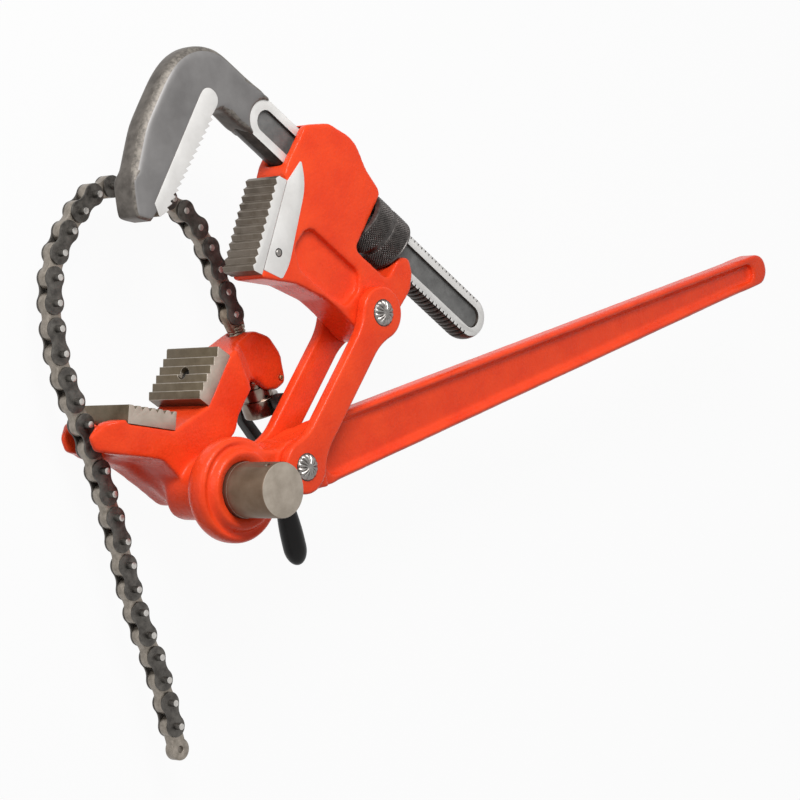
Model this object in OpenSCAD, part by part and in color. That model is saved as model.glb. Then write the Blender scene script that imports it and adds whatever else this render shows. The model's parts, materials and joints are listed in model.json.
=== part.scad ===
// Compound leverage pipe wrench, lying on its side on the trunnion's rear face.
// +X runs along the handle, +Z along every pivot, and the origin is on the trunnion
// shaft's axis in the plane that the tool rests on.

/* [Trunnion] */
// Width of the trunnion across its jaws
trunnion_w = 80; // [72:1:96]
// Distance from the shaft's axis to the bottom of the vee
vee_rise = 79; // [76:1:84]
// Sideways place of the bottom of the vee
vee_side = 7; // [4:1:10]
// Slope of the lower vee face, from +X
lower_vee_angle = 156.7; // [154:0.1:160]
// Slope of the upper vee face, from +X
upper_vee_angle = 43.5; // [41:0.1:46]
// Width of the fork's mouth, which the long chain pins pass
fork_mouth_w = 38; // [37:0.5:44]
// Width of the fork's throat, behind which the long chain pins hook
fork_throat_w = 24; // [20:0.5:30]
// Outer radius of the boss that holds the shaft
boss_r = 31; // [29:0.5:34]
// Thickness of the rear flange under the jaws
flange_t = 30; // [24:0.5:33]

/* [Jaw inserts] */
// Distance from the vee's bottom to the lower insert
lower_insert_start = 18; // [16:0.5:20]
// Length of the lower insert
lower_insert_len = 63; // [60:0.5:65]
// Thickness of the lower insert
lower_insert_t = 19; // [17:0.5:20]
// Distance from the vee's bottom to the upper insert
upper_insert_start = 20; // [18:0.5:23]
// Length of the upper insert
upper_insert_len = 60; // [54:0.5:62]
// Thickness of the upper insert
upper_insert_t = 18.5; // [17:0.5:20]
// Number of teeth on each insert
insert_teeth = 6; // [4:1:8]
// Depth of the insert teeth
insert_tooth_depth = 4; // [2:0.5:5]
// Shank diameter of the insert screws
insert_screw_d = 8; // [6:0.5:10]

/* [Shaft] */
// Diameter of the trunnion shaft's journal
shaft_d = 57; // [52:0.5:58]
// Length of journal that stands out past the handle's hub
shaft_out = 54; // [40:1:70]
// Diameter of the spigot that is pressed into the trunnion
spigot_d = 40; // [36:1:46]
// Amount by which the free journal is turned down
journal_step = 0.3; // [0.2:0.05:1]
// Diameter of the cross hole near the shaft's end
cross_hole_d = 6; // [4:0.5:9]
// Turn of the cross hole, from +Y
cross_hole_turn = 10; // [0:1:20]

/* [Handle] */
// Distance from the shaft's axis to the handle's tip
handle_len = 910; // [890:1:960]
// Largest radius of the hub
hub_r = 54; // [50:0.5:56]
// Height of the hub's front face above the handle's middle plane
hub_front = 25; // [22:0.5:28]
// Depth of the hub's rear face below the handle's middle plane
hub_rear = 14; // [12:0.5:20]
// Radius of the groove round the hub's front lip
hub_groove_r = 43; // [40:0.5:45]
// Height of the hub's front lip above that groove
hub_lip = 6; // [3:0.5:8]
// Distance from the shaft's axis to the lower link pin
link_pin_x = 77; // [76:0.5:82]
// Thickness of the lug between the links
lug_t = 46; // [42:1:46]
// Half height of the handle where its taper begins
handle_root = 34; // [30:0.5:36]
// Half height of the handle at its tip
handle_tip = 18; // [14:0.5:20]
// Angle by which the beam leans down from the line of the two pivots
handle_lean = -0.22; // [-0.5:0.02:0]
// Thickness of the handle's beam
beam_t = 26; // [22:1:32]
// Thickness of the web between the handle's rails
web_t = 11; // [8:1:16]
// Width of each rail
rail_w = 8; // [5:0.5:9]

/* [Links] */
// Distance between the link pins
link_len = 196; // [190:1:200]
// Direction of the links, from the handle
link_angle = 38.2; // [37:0.1:42]
// Thickness of each link
link_t = 13; // [11:0.5:14]
// Width of each link between its eyes
link_w = 33; // [28:1:38]
// Outer radius of the link eyes
eye_r = 28; // [26:0.5:30]
// Diameter of the link pins
link_pin_d = 22; // [18:0.5:25]
// Radius of the pins' riveted heads
rivet_r = 13.5; // [13:0.5:15]

/* [Wrench head] */
// Direction of the hook jaw's shank, from the handle
shank_angle = -49; // [-50:0.1:-48]
// Thickness of the head
head_t = 46; // [42:1:46]
// Width of the shank across its threads
shank_w = 49; // [46:0.5:52]
// Thickness of the shank
shank_t = 24; // [20:0.5:26]
// Thickness of the hook
hook_t = 32; // [28:0.5:36]
// Opening between the jaws, along the shank
jaw_gap = 100; // [80:1:110]
// Pitch of the shank's thread
shank_pitch = 6.35; // [5:0.05:8]
// Diameter of the adjusting nut
adjust_nut_d = 63; // [60:0.5:66]
// Length of the adjusting nut
adjust_nut_len = 55; // [48:0.5:57]
// Diameter of the heel jaw's pin
heel_pin_d = 7; // [5:0.5:9]

/* [Chain] */
// Pitch of the chain
chain_pitch = 25.4; // [25:0.1:26]
// Diameter of the chain pins
chain_pin_d = 7.2; // [6.6:0.02:8]
// Thickness of the inner links, which are solid blocks
block_t = 10.6; // [9.6:0.1:11.4]
// Thickness of the outer links' plates
plate_t = 2.4; // [2.2:0.1:2.6]
// Gap between an inner link and the plates beside it
plate_gap = 0.3; // [0.2:0.05:0.5]
// Height of the chain's links
plate_h = 23; // [20:0.5:23.5]
// Half length of a long chain pin
long_pin = 16.5; // [15:0.1:17.5]
// Half length of a flush chain pin
flush_pin = 8.9; // [8.7:0.1:10]

/* [Chain screw] */
// Lean of the chain screw, from -Y
screw_lean = 7; // [6:0.5:9]
// Diameter of the chain screw
screw_d = 19; // [16:0.5:20]
// Length of the chain screw from the first chain pin
screw_len = 114; // [112:1:118]
// Diameter of the chain nut
chain_nut_d = 42; // [40:0.5:43]
// Length of the chain nut
chain_nut_len = 40; // [38:1:42]
// Distance from the first chain pin to the chain nut
chain_nut_from = 73; // [71:0.5:76]
// Length of the chain nut's neck
nut_neck = 21; // [20:0.5:22]
// Diameter of the nut's retaining pin
retaining_pin_d = 5; // [4:0.5:6]

/* [Nut handle] */
// Distance from its pivot to the end of the nut handle
nut_handle_len = 182; // [170:1:190]
// Hang of the nut handle, from -Y
nut_handle_hang = 0.5; // [-4:0.5:4]
// Thickness of the nut handle's arms
nut_handle_bar = 9; // [8:0.5:9.5]
// Width of the nut handle's arms
nut_handle_arm = 12; // [10:0.5:14]
// Width of the nut handle's grip
grip_w = 27; // [24:0.5:32]

/* [Clearances] */
// Radial running clearance of each pivot
running = 0.05; // [0.02:0.01:0.09]
// Radial clearance of a pressed or riveted pin
pressed = 0.02; // [0.01:0.01:0.03]
// Side clearance between the links and what they hold
side_gap = 0.5; // [0.3:0.1:1]
// Clearance of threads and of loose pieces
loose = 0.4; // [0.3:0.05:0.6]

/* [Hidden] */
$fn = 64;
chain_z = trunnion_w / 2;
rivet_front_h = 5.5;
rivet_rear_h = 3;
rivet_gap = 1.5;
handle_z = trunnion_w + rivet_gap + rivet_rear_h + link_t + side_gap + lug_t / 2;
hub_low = handle_z - hub_rear;
hub_high = handle_z + hub_front;
boss_top = hub_low - loose;
shaft_top = hub_high + shaft_out;
shaft_r = shaft_d / 2;
journal_r = shaft_r - journal_step;
shaft_corner = 1.5;
link_pin_r = link_pin_d / 2;
link_in = lug_t / 2 + side_gap;
lower_pin = [link_pin_x, 0];
upper_pin = lower_pin + link_len * [cos(link_angle), sin(link_angle)];

// Points along the two faces of the vee: s from its bottom, h out of the face
vee = [vee_side, vee_rise];
lower_dir = [cos(lower_vee_angle), sin(lower_vee_angle)];
upper_dir = [cos(upper_vee_angle), sin(upper_vee_angle)];
function on_lower(s, h) = vee + s * lower_dir + h * [lower_dir[1], -lower_dir[0]];
function on_upper(s, h) = vee + s * upper_dir + h * [-upper_dir[1], upper_dir[0]];
lower_end = lower_insert_start + lower_insert_len;
upper_end = upper_insert_start + upper_insert_len;

// Frame of the wrench head: its X runs along the shank, away from the hook
shank_dir = [cos(shank_angle), sin(shank_angle)];
shank_side = [-shank_dir[1], shank_dir[0]];
head_pin = [upper_pin * shank_dir, upper_pin * shank_side];
shank_r = shank_w / 2;
shank_y = head_pin[1] + 86.5;
shank_low = shank_y - shank_r;
shank_end = head_pin[0] + 159;
heel_foot = [head_pin[0] - 154, head_pin[1] - 56];
heel_top = [head_pin[0] - 176, head_pin[1] + 46];
heel_t = 15;
heel_pin = [head_pin[0] - 147, head_pin[1] - 24];
hook_face = heel_top[0] - heel_t - jaw_gap + 2;
window_from = head_pin[0] - 57.5;
window_to = window_from + adjust_nut_len + 2 * loose;
window_floor = shank_low - 20;
nut_bore_r = shank_r + loose;
shank_slot = shank_t / 2 + 2 * loose;

// Chain screw: origin on the first chain pin, X of its frame along the screw
screw_dir = [sin(screw_lean), -cos(screw_lean)];
first_pin = [127, 152.5];
function on_screw(s, side = 0) = first_pin + s * screw_dir + side * [-screw_dir[1], screw_dir[0]];
nut_groove_r = screw_d / 2 + 3;
neck_r = nut_groove_r + 4;
nut_groove_from = chain_nut_from + 3;
nut_groove_len = retaining_pin_d + 2 * loose;
pin_side = nut_groove_r + loose + retaining_pin_d / 2;
retaining_at = on_screw(nut_groove_from + nut_groove_len / 2, pin_side);
horn_step = 6.5;
horn_inset = 2 * horn_step;
horn_rear = 24;
nut_handle_s = chain_nut_from + chain_nut_len - 13;
nut_handle_at = on_screw(nut_handle_s);
arm_gap = chain_nut_d / 2 + 6;
eye_t = nut_handle_bar + 1;
arm_z = arm_gap + eye_t / 2;
pivot_r = 4;

// Directions of the chain's links, from the screw to the free end
chain_headings = [
    98, 98, 102, 110, 123, 138, 148, 156, 166, 185, 208, 218,
    224, 239, 252, 259, 264, 273, 277, 280, 278, 277, 275, 273,
    272, 270, 269, 273, 277, 279, 275, 272, 270, 271
];
chain_links = len(chain_headings);
flush_links = 6;
function chain_pin_at(i) = i == 0 ? first_pin : chain_pin_at(i - 1)
    + chain_pitch * [cos(chain_headings[i - 1]), sin(chain_headings[i - 1])];
function chain_name(i) = str(i % 2 == 1 ? "chain_outer_link_" : "chain_inner_link_", i < 10 ? "0" : "", i);
outer_plate = block_t / 2 + plate_gap;
plate_waist = plate_h * 0.36;

// Outline tools: corners rounded by arcs, and rows of teeth
function unit(v) = v / norm(v);
function turned(v, a) = [v[0] * cos(a) - v[1] * sin(a), v[0] * sin(a) + v[1] * cos(a)];
function corner(p, q, s, r, n) = r == 0 ? [q] :
    let(u = unit(p - q), w = unit(s - q), half = acos(u * w) / 2,
        middle = q + unit(u + w) * r / sin(half),
        first = q + u * r / tan(half) - middle,
        side = u[0] * w[1] - u[1] * w[0] > 0 ? -1 : 1)
    [for (k = [0:n]) middle + turned(first, side * (180 - 2 * half) * k / n)];
function flat(p) = [p[0], p[1]];
function rounded(pts, n = 6) = let(m = len(pts))
    [for (i = [0:m - 1]) each corner(flat(pts[(i + m - 1) % m]), flat(pts[i]), flat(pts[(i + 1) % m]),
        len(pts[i]) > 2 ? pts[i][2] : 0, n)];
function saw_row(p, q, n, depth, lean) = let(out = turned(unit(q - p), 90))
    [for (i = [0:n - 1]) each [p + (q - p) * (i + lean) / n, p + (q - p) * (i + 1) / n + depth * out]];
function round_at(p, r) = [p[0], p[1], r];

module slab(from, to) {
    translate([0, 0, from])
        linear_extrude(to - from)
            children();
}
module bore(at, r, from, to) {
    translate([at[0], at[1], from])
        cylinder(r = r, h = to - from);
}
module head_frame() {
    translate([0, 0, handle_z])
        rotate(shank_angle)
            children();
}
module screw_frame() {
    translate([first_pin[0], first_pin[1], chain_z])
        rotate([0, 90, screw_lean - 90])
            children();
}

// Trunnion with its vee, fork and horn
fork_x = -83;
fork_tip = [-113, 91];
horn_right = retaining_at[0] + retaining_pin_d / 2 + 5;
throat_depth = 9;
beam_outline = rounded([
    round_at(fork_tip, 5), [-111, 75, 7], [-88, 64, 14], [-44, 46, 40], [2, 36, 30], [44, 34, 14],
    [62, 42, 14], [72, 58, 20], [88, 72, 20], [108, 83, 10], [122, 81, 8], [130, 69, 6],
    [horn_right - 16, 65, 9], [horn_right - 1, 69, 8], [horn_right + 1, 100, 20],
    [150, 122, 16], [130, 134, 14], [100, 127, 12],
    on_upper(upper_end, -upper_insert_t), on_upper(upper_insert_start, -upper_insert_t),
    on_lower(lower_insert_start, -lower_insert_t), on_lower(lower_end, -lower_insert_t),
    on_lower(lower_end + 1, -lower_insert_t + 4), [-95, 101, 8]]);
flange_outline = rounded([
    [-100, 72, 4], [-86, 61, 14], [-46, 38, 30], [-18, 7, 30], [13, -30, 16], [38, 2, 16],
    [70, 52, 8], [30, 60, 4], [-40, 70, 4]]);
neck_outline = rounded([
    [-57, 55], [-38, 41, 14], [-boss_r + 4, 24, 10], [-boss_r * 0.6, 0, 14],
    [2, 6 - boss_r, 12], [boss_r - 5, -4, 12],
    [boss_r + 13, 48, 6], [30, 60, 4], [-30, 62, 4]]);
neck_from = flange_t - 2;
boss_from = trunnion_w - 28;
nose_from = -86;
nose_w = fork_mouth_w / 2 + 3;
module fork_nose(side) {
    // Slanted outer corner of one prong
    translate([0, 0, chain_z])
        rotate([-90, 0, 0])
            linear_extrude(200)
                polygon([[nose_from, side * trunnion_w / 2], [fork_tip[0] - 3, side * nose_w],
                         [fork_tip[0] - 3, side * trunnion_w], [nose_from, side * trunnion_w]]);
}
module trunnion_body() {
    color("orangered")
    difference() {
        union() {
            slab(0, trunnion_w) polygon(beam_outline);
            slab(0, flange_t) polygon(flange_outline);
            slab(neck_from, trunnion_w) polygon(neck_outline);
            bore([0, 0], boss_r, boss_from, boss_top);
        }
        slab(chain_z - fork_mouth_w / 2, chain_z + fork_mouth_w / 2)
            polygon([[-140, 40], [fork_x, 40], [fork_x, 120], [-140, 120]]);
        slab(chain_z - fork_throat_w / 2, chain_z + fork_throat_w / 2)
            polygon(rounded([[-140, 40], [fork_x + throat_depth, 40, 2], [fork_x + throat_depth, 120, 2],
                             [-140, 120]]));
        for (side = [-1, 1]) fork_nose(side);
        bore([0, 0], spigot_d / 2 + pressed, boss_from + 6, boss_top + 1);
        for (k = [1, 2], z = [[-1, k * horn_step], [trunnion_w - k * horn_step, trunnion_w + 1]])
            slab(z[0], z[1])
                polygon([[96 + 10 * k, 40], [200, 40], [200, 160], [82 + 10 * k, 160], [82 + 10 * k, 120]]);
        slab(-1, horn_rear) polygon([[90, 105], [200, 105], [200, 160], [90, 160]]);
        screw_frame() {
            translate([0, 0, -10]) cylinder(r = screw_d / 2 + 1.5, h = screw_len);
            translate([0, 0, chain_nut_from - loose]) cylinder(r = neck_r + 1, h = nut_neck + 1);
            translate([0, 0, chain_nut_from + nut_neck - loose]) cylinder(r = chain_nut_d / 2 + 1, h = 80);
        }
        bore(retaining_at, retaining_pin_d / 2 + pressed, -1, trunnion_w + 1);
        insert_screw_holes(insert_screw_d / 2 + pressed, 24);
    }
}

// Shaft that the handle turns on, with a spigot pressed into the trunnion
module trunnion_shaft() {
    color("dimgray")
    difference() {
        union() {
            bore([0, 0], spigot_d / 2, boss_from + 7, boss_top);
            bore([0, 0], shaft_r, boss_top, hub_high + 1);
            translate([0, 0, hub_high])
                rotate_extrude()
                    polygon(rounded([[0, 0], [journal_r, 0], [journal_r, shaft_out, shaft_corner],
                                     [0, shaft_out]], 2));
        }
        translate([0, 0, shaft_top - 9])
            rotate([-90, 0, cross_hole_turn])
                cylinder(d = cross_hole_d, h = 3 * shaft_d, center = true);
    }
}

// Hardened jaw inserts and the screws that hold them
saw_lean = 0.23;
lower_screw_s = lower_insert_start + lower_insert_len / 2;
upper_screw_s = upper_insert_start + upper_insert_len / 2;
module at_insert(s, upper) {
    at = upper ? on_upper(s, 0) : on_lower(s, 0);
    out = upper ? upper_vee_angle + 90 : lower_vee_angle - 90;
    translate([at[0], at[1], chain_z])
        rotate([0, 90, out])
            children();
}
module insert_screw_holes(r, depth) {
    at_insert(lower_screw_s, false) translate([0, 0, -lower_insert_t - depth]) cylinder(r = r, h = depth + 1);
    at_insert(upper_screw_s, true) translate([0, 0, -upper_insert_t - depth]) cylinder(r = r, h = depth + 1);
}
screw_head_r = insert_screw_d * 0.8;
screw_head_h = insert_screw_d;
module insert_screw_seat(t) {
    translate([0, 0, -t - 1]) cylinder(r = insert_screw_d / 2 + loose, h = t + 2);
    translate([0, 0, -t + 4]) cylinder(r = screw_head_r + loose, h = t);
}
module insert_screw(t) {
    difference() {
        union() {
            translate([0, 0, -t - 18]) cylinder(d = insert_screw_d, h = 22.5);
            translate([0, 0, -t + 4]) cylinder(r = screw_head_r, h = screw_head_h);
        }
        translate([0, 0, -t + 8]) cylinder(r = insert_screw_d * 0.4, h = screw_head_h, $fn = 6);
    }
}
module lower_jaw_insert() {
    color("dimgray")
    difference() {
        slab(0, trunnion_w)
            polygon(concat(
                [on_lower(lower_insert_start, -lower_insert_t), on_lower(lower_insert_start, 0)],
                [for (i = [1:insert_teeth])
                    let(s = lower_insert_start + (i - 0.35) * lower_insert_len / (insert_teeth + 0.5))
                    each [on_lower(s - 3, 0), on_lower(s, -insert_tooth_depth), on_lower(s + 3, 0)]],
                [on_lower(lower_end, 0), on_lower(lower_end, -lower_insert_t)]));
        at_insert(lower_screw_s, false) insert_screw_seat(lower_insert_t);
    }
}
module upper_jaw_insert() {
    color("dimgray")
    difference() {
        slab(0, trunnion_w)
            polygon(concat(
                [on_upper(upper_insert_start, -upper_insert_t)],
                [on_upper(upper_end, -upper_insert_t), on_upper(upper_end, 0)],
                saw_row(on_upper(upper_end, 0), on_upper(upper_insert_start, 0), insert_teeth,
                        insert_tooth_depth, saw_lean)));
        at_insert(upper_screw_s, true) insert_screw_seat(upper_insert_t);
    }
}
module jaw_insert_screws() {
    color("black") {
        at_insert(lower_screw_s, false) insert_screw(lower_insert_t);
        at_insert(upper_screw_s, true) insert_screw(upper_insert_t);
    }
}

// Chain screw, its nut and the nut's folding handle
eye_len = plate_h / 2 + 1.5;
module chain_screw() {
    color("silver")
    difference() {
        union() {
            screw_frame()
                translate([0, 0, eye_len]) cylinder(d = screw_d, h = screw_len - eye_len);
            slab(chain_z - block_t / 2, chain_z + block_t / 2) {
                translate(first_pin) circle(r = plate_h / 2);
                polygon([on_screw(0, -plate_h / 2), on_screw(0, plate_h / 2),
                         on_screw(eye_len + 4, screw_d / 2 - 1), on_screw(eye_len + 4, 1 - screw_d / 2)]);
            }
        }
        bore(first_pin, chain_pin_d / 2 + running, 0, trunnion_w);
    }
}
module chain_nut() {
    color("silver")
    screw_frame()
    difference() {
        translate([0, 0, chain_nut_from])
            rotate_extrude()
                polygon(rounded([
                    [screw_d / 2 + loose, 0], [neck_r, 0], [neck_r, nut_groove_from - chain_nut_from],
                    [nut_groove_r, nut_groove_from - chain_nut_from],
                    [nut_groove_r, nut_groove_from - chain_nut_from + nut_groove_len],
                    [neck_r, nut_groove_from - chain_nut_from + nut_groove_len],
                    [neck_r, nut_neck], [chain_nut_d / 2, nut_neck, 1],
                    [chain_nut_d / 2, chain_nut_len, 2], [screw_d / 2 + loose, chain_nut_len]], 3));
        for (side = [-1, 1])
            translate([0, 0, nut_handle_s])
                rotate([0, 90, 0])
                    translate([0, 0, side * (chain_nut_d / 2 - 4)])
                        cylinder(r = pivot_r + pressed, h = 9, center = true);
    }
}
module nut_retaining_pin() {
    color("peru")
    bore(retaining_at, retaining_pin_d / 2, horn_inset, trunnion_w - horn_inset);
}
module nut_handle_pivots() {
    color("dimgray")
    for (side = [-1, 1])
        translate([nut_handle_at[0], nut_handle_at[1], chain_z + side * (chain_nut_d / 2 - 8)])
            rotate([side > 0 ? 0 : 180, 0, 0])
                cylinder(r = pivot_r, h = arm_gap + eye_t + 2 - chain_nut_d / 2 + 8);
}
crotch_y = 22;
yoke_half = nut_handle_bar / 2;
core_r = yoke_half + 1;
grip_from = crotch_y + 44;
core_len = nut_handle_len - grip_from - 12;
module yoke_outline() {
    polygon([
        [-arm_z - yoke_half, 0], [-arm_z - yoke_half, -crotch_y], [-core_r, -grip_from - 6],
        [core_r, -grip_from - 6], [arm_z + yoke_half, -crotch_y], [arm_z + yoke_half, 0],
        [arm_z - yoke_half, 0], [arm_z - yoke_half, 3 - crotch_y], [0, 6 - grip_from],
        [yoke_half - arm_z, 3 - crotch_y], [yoke_half - arm_z, 0]]);
}
module nut_handle() {
    color("black")
    translate([nut_handle_at[0], nut_handle_at[1], chain_z])
    rotate(nut_handle_hang)
    difference() {
        union() {
            rotate([0, -90, 0])
                linear_extrude(nut_handle_arm, center = true) yoke_outline();
            for (side = [-1, 1])
                bore([0, 0], nut_handle_bar, side * arm_z - eye_t / 2, side * arm_z + eye_t / 2);
            translate([0, -grip_from, 0])
                rotate([90, 0, 0]) cylinder(r = core_r, h = core_len);
        }
        bore([0, 0], pivot_r + running, -trunnion_w, trunnion_w);
    }
}
module nut_handle_grip() {
    color("black")
    translate([nut_handle_at[0], nut_handle_at[1], chain_z])
    rotate(nut_handle_hang)
    difference() {
        rotate([90, 0, 0])
            rotate_extrude()
                polygon(rounded([[0, grip_from + 7], [8, grip_from + 7, 3],
                                 [grip_w / 2, grip_from + 46, 40],
                                 [grip_w / 2, nut_handle_len, 11], [0, nut_handle_len]]));
        translate([0, -grip_from, 0])
            rotate([90, 0, 0]) cylinder(r = core_r + pressed, h = core_len + loose);
    }
}

// Handle lever: hub, lug for the links and a beam with two rails
shoulder = [130, handle_root];
pocket_end = handle_len - handle_tip - 8;
function half_at(x) =
    handle_root + (x - shoulder[0]) / (handle_len - shoulder[0]) * (handle_tip - handle_root);
module both_sides(half) {
    rotate(handle_lean)
        polygon(rounded(concat(half, [for (i = [len(half) - 1:-1:0]) len(half[i]) > 2
            ? [half[i][0], -half[i][1], half[i][2]] : [half[i][0], -half[i][1]]])));
}
module handle_outline() {
    both_sides([[0, 40], [56, 25, 20], round_at(shoulder, 40), [handle_len, handle_tip, handle_tip - 0.5]]);
}
module rail_pocket() {
    both_sides([[shoulder[0] - 4, handle_root - rail_w - 1, 10],
                [pocket_end, half_at(pocket_end) - rail_w, half_at(pocket_end) - rail_w - 0.5]]);
}
module handle() {
    color("orangered")
    difference() {
        union() {
            rotate_extrude()
                polygon(rounded([[0, hub_low], [hub_r, hub_low, 18], [hub_r, hub_high - hub_lip, 8],
                                 [hub_groove_r, hub_high - hub_lip, 2.5], [hub_groove_r - 4, hub_high, 4.5],
                                 [0, hub_high]]));
            slab(handle_z - beam_t / 2, handle_z + beam_t / 2) handle_outline();
            slab(handle_z - lug_t / 2 + 2, handle_z + lug_t / 2 - 2)
                intersection() {
                    handle_outline();
                    polygon(rounded([[10, -60], [shoulder[0] - 14, -60, 20], [shoulder[0] - 14, 60, 20],
                                     [10, 60]]));
                }
            bore(lower_pin, eye_r + 1, handle_z - lug_t / 2, handle_z + lug_t / 2);
        }
        bore([0, 0], shaft_r + running, handle_z - trunnion_w, handle_z + trunnion_w);
        bore([0, 0], boss_r + 2 * loose, handle_z - trunnion_w, hub_low);
        bore(lower_pin, link_pin_r + running, handle_z - trunnion_w, handle_z + trunnion_w);
        slab(handle_z + web_t / 2, handle_z + beam_t) rail_pocket();
        slab(handle_z - beam_t, handle_z - web_t / 2) rail_pocket();
    }
}

// Pair of links and the riveted pins at their ends
flare_run = 35;
flare = eye_r * [0.28, 0.945];
strap_half = [flare, [flare_run, link_w / 2], [link_len - flare_run, link_w / 2],
              [link_len - flare[0], flare[1]]];
module link_plate() {
    translate(lower_pin)
        rotate(link_angle)
            difference() {
                union() {
                    bore([0, 0], eye_r, 0, link_t);
                    bore([link_len, 0], eye_r, 0, link_t);
                    slab(0, link_t)
                        polygon(concat(strap_half,
                                       [for (i = [3:-1:0]) [strap_half[i][0], -strap_half[i][1]]]));
                }
                for (x = [0, link_len]) bore([x, 0], link_pin_r + pressed, -1, link_t + 1);
            }
}
module front_link() {
    color("orangered")
    translate([0, 0, handle_z + link_in]) link_plate();
}
module rear_link() {
    color("orangered")
    translate([0, 0, handle_z - link_in - link_t]) link_plate();
}
module link_rivet(at) {
    low = handle_z - link_in - link_t;
    high = handle_z + link_in + link_t;
    translate([at[0], at[1], 0])
        rotate_extrude()
            polygon(concat(
                [[0, low - rivet_rear_h]],
                [for (k = [1:5]) [rivet_r * sin(18 * k), low - rivet_rear_h * cos(18 * k)]],
                [[link_pin_r, low], [link_pin_r, high]],
                [for (k = [5:-1:1]) [rivet_r * sin(18 * k), high + rivet_front_h * cos(18 * k)]],
                [[0, high + rivet_front_h]]));
}
module lower_link_pin() {
    color("silver") link_rivet(lower_pin);
}
module upper_link_pin() {
    color("silver") link_rivet(upper_pin);
}

// Wrench head with its heel jaw, springs, hook jaw and adjusting nut
bulge = [window_to, shank_low];
head_outline = rounded([
    [heel_top[0] - 8, head_pin[1] + 62, 4], [heel_top[0] - 8, shank_y + shank_r, 10],
    [head_pin[0] - 158, shank_y + shank_r + 21, 16], [head_pin[0] - 119, shank_y + shank_r + 29, 40],
    [head_pin[0] - 88, shank_y + shank_r + 12, 30], [window_from, shank_y + shank_r + 4, 8],
    [window_from, window_floor, 6], [window_to, window_floor, 8], [bulge[0] + 2, bulge[1] + 10, 7],
    [bulge[0] + 15, bulge[1] + 19, 9], [bulge[0] + 27, bulge[1] + 8, 10], [bulge[0] + 35, bulge[1] - 10, 8],
    [bulge[0] + 33, bulge[1] - 26, 12],
    [head_pin[0] + eye_r, head_pin[1], 14], [head_pin[0] + eye_r - 4, head_pin[1] - eye_r - 3, 26],
    [head_pin[0] - 40, head_pin[1] - eye_r + 3, 30], [head_pin[0] - 64, head_pin[1] - 25, 20],
    [head_pin[0] - 108, head_pin[1] - 36, 30], [heel_foot[0] + 2, heel_foot[1] - 3, 4],
    heel_foot, heel_top, [heel_top[0] - 5, heel_top[1] + 3]]);
panel_depth = 8;
panel_outline = rounded([
    [head_pin[0] - 130, head_pin[1] - 6, 10], [head_pin[0] - 127, head_pin[1] + 25, 14],
    [head_pin[0] - 40, head_pin[1] + 25, 12], [head_pin[0] - eye_r - 3, head_pin[1] + 8, 10],
    [head_pin[0] - eye_r - 9, head_pin[1] - 16, 8], [head_pin[0] - 60, head_pin[1] - 21, 12],
    [head_pin[0] - 112, head_pin[1] - 21, 16]]);
tang_in = 26;
tang_t = 16;
function heel_at(f, in) =
    heel_foot + f * (heel_top - heel_foot) + in * turned(unit(heel_top - heel_foot), -90);
function tang_outline(c) = [heel_at(0.12, -1) - [0, c], heel_at(0.12, tang_in + c) - [0, c],
                            heel_at(0.8, tang_in + c) + [0, c], heel_at(0.8, -1) + [0, c]];
spring_at = [head_pin[0] - 92, shank_low];
spring_r = 6;
spring_h = 20;
leaf_from = head_pin[0] - 160;
leaf_t = 2;
module wrench_head() {
    color("orangered")
    difference() {
        head_frame() difference() {
            slab(-head_t / 2, head_t / 2) polygon(head_outline);
            slab(-shank_slot, shank_slot)
                translate([hook_face, shank_low - 2 * loose])
                    square([shank_end - hook_face, 2 * shank_r + 4 * loose + leaf_t]);
            slab(-tang_t / 2 - loose / 2, tang_t / 2 + loose / 2) polygon(tang_outline(loose / 2));
            for (z = [[head_t / 2 - panel_depth, head_t], [-head_t, -head_t / 2 + panel_depth]])
                slab(z[0], z[1]) polygon(panel_outline);
            bore(heel_pin, heel_pin_d / 2 + pressed, -head_t, head_t);
            translate([spring_at[0], spring_at[1] - spring_h - loose, 0])
                rotate([-90, 0, 0]) cylinder(r = spring_r + loose, h = spring_h + 10);
        }
        bore(upper_pin, link_pin_r + running, 0, 2 * handle_z);
    }
}
heel_teeth = 12;
heel_tooth_depth = 3.5;
module heel_jaw() {
    color("dimgray")
    head_frame() difference() {
        union() {
            slab(-head_t / 2, head_t / 2)
                polygon(concat([heel_at(0, -pressed), heel_at(0, heel_tooth_depth - heel_t)],
                               saw_row(heel_at(0, -heel_t), heel_at(1, -heel_t), heel_teeth,
                                       -heel_tooth_depth, 0.5),
                               [heel_at(1, -pressed)]));
            slab(-tang_t / 2, tang_t / 2) polygon(tang_outline(0));
        }
        bore(heel_pin, heel_pin_d / 2 + pressed, -head_t, head_t);
    }
}
module heel_jaw_pin() {
    color("silver")
    head_frame() bore(heel_pin, heel_pin_d / 2, -head_t / 2, head_t / 2);
}
module flat_spring() {
    color("steelblue")
    head_frame()
        slab(-shank_t / 2 + 2, shank_t / 2 - 2)
            translate([leaf_from, shank_y + shank_r + 2 * loose])
                square([window_from - 8 - leaf_from, leaf_t]);
}
module coil_spring() {
    color("silver")
    head_frame()
        translate([spring_at[0], spring_at[1] - spring_h - loose, 0])
            rotate([-90, 0, 0]) difference() {
                cylinder(r = spring_r, h = spring_h);
                translate([0, 0, -1]) cylinder(r = spring_r - 1.6, h = spring_h + 2);
            }
}
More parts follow.
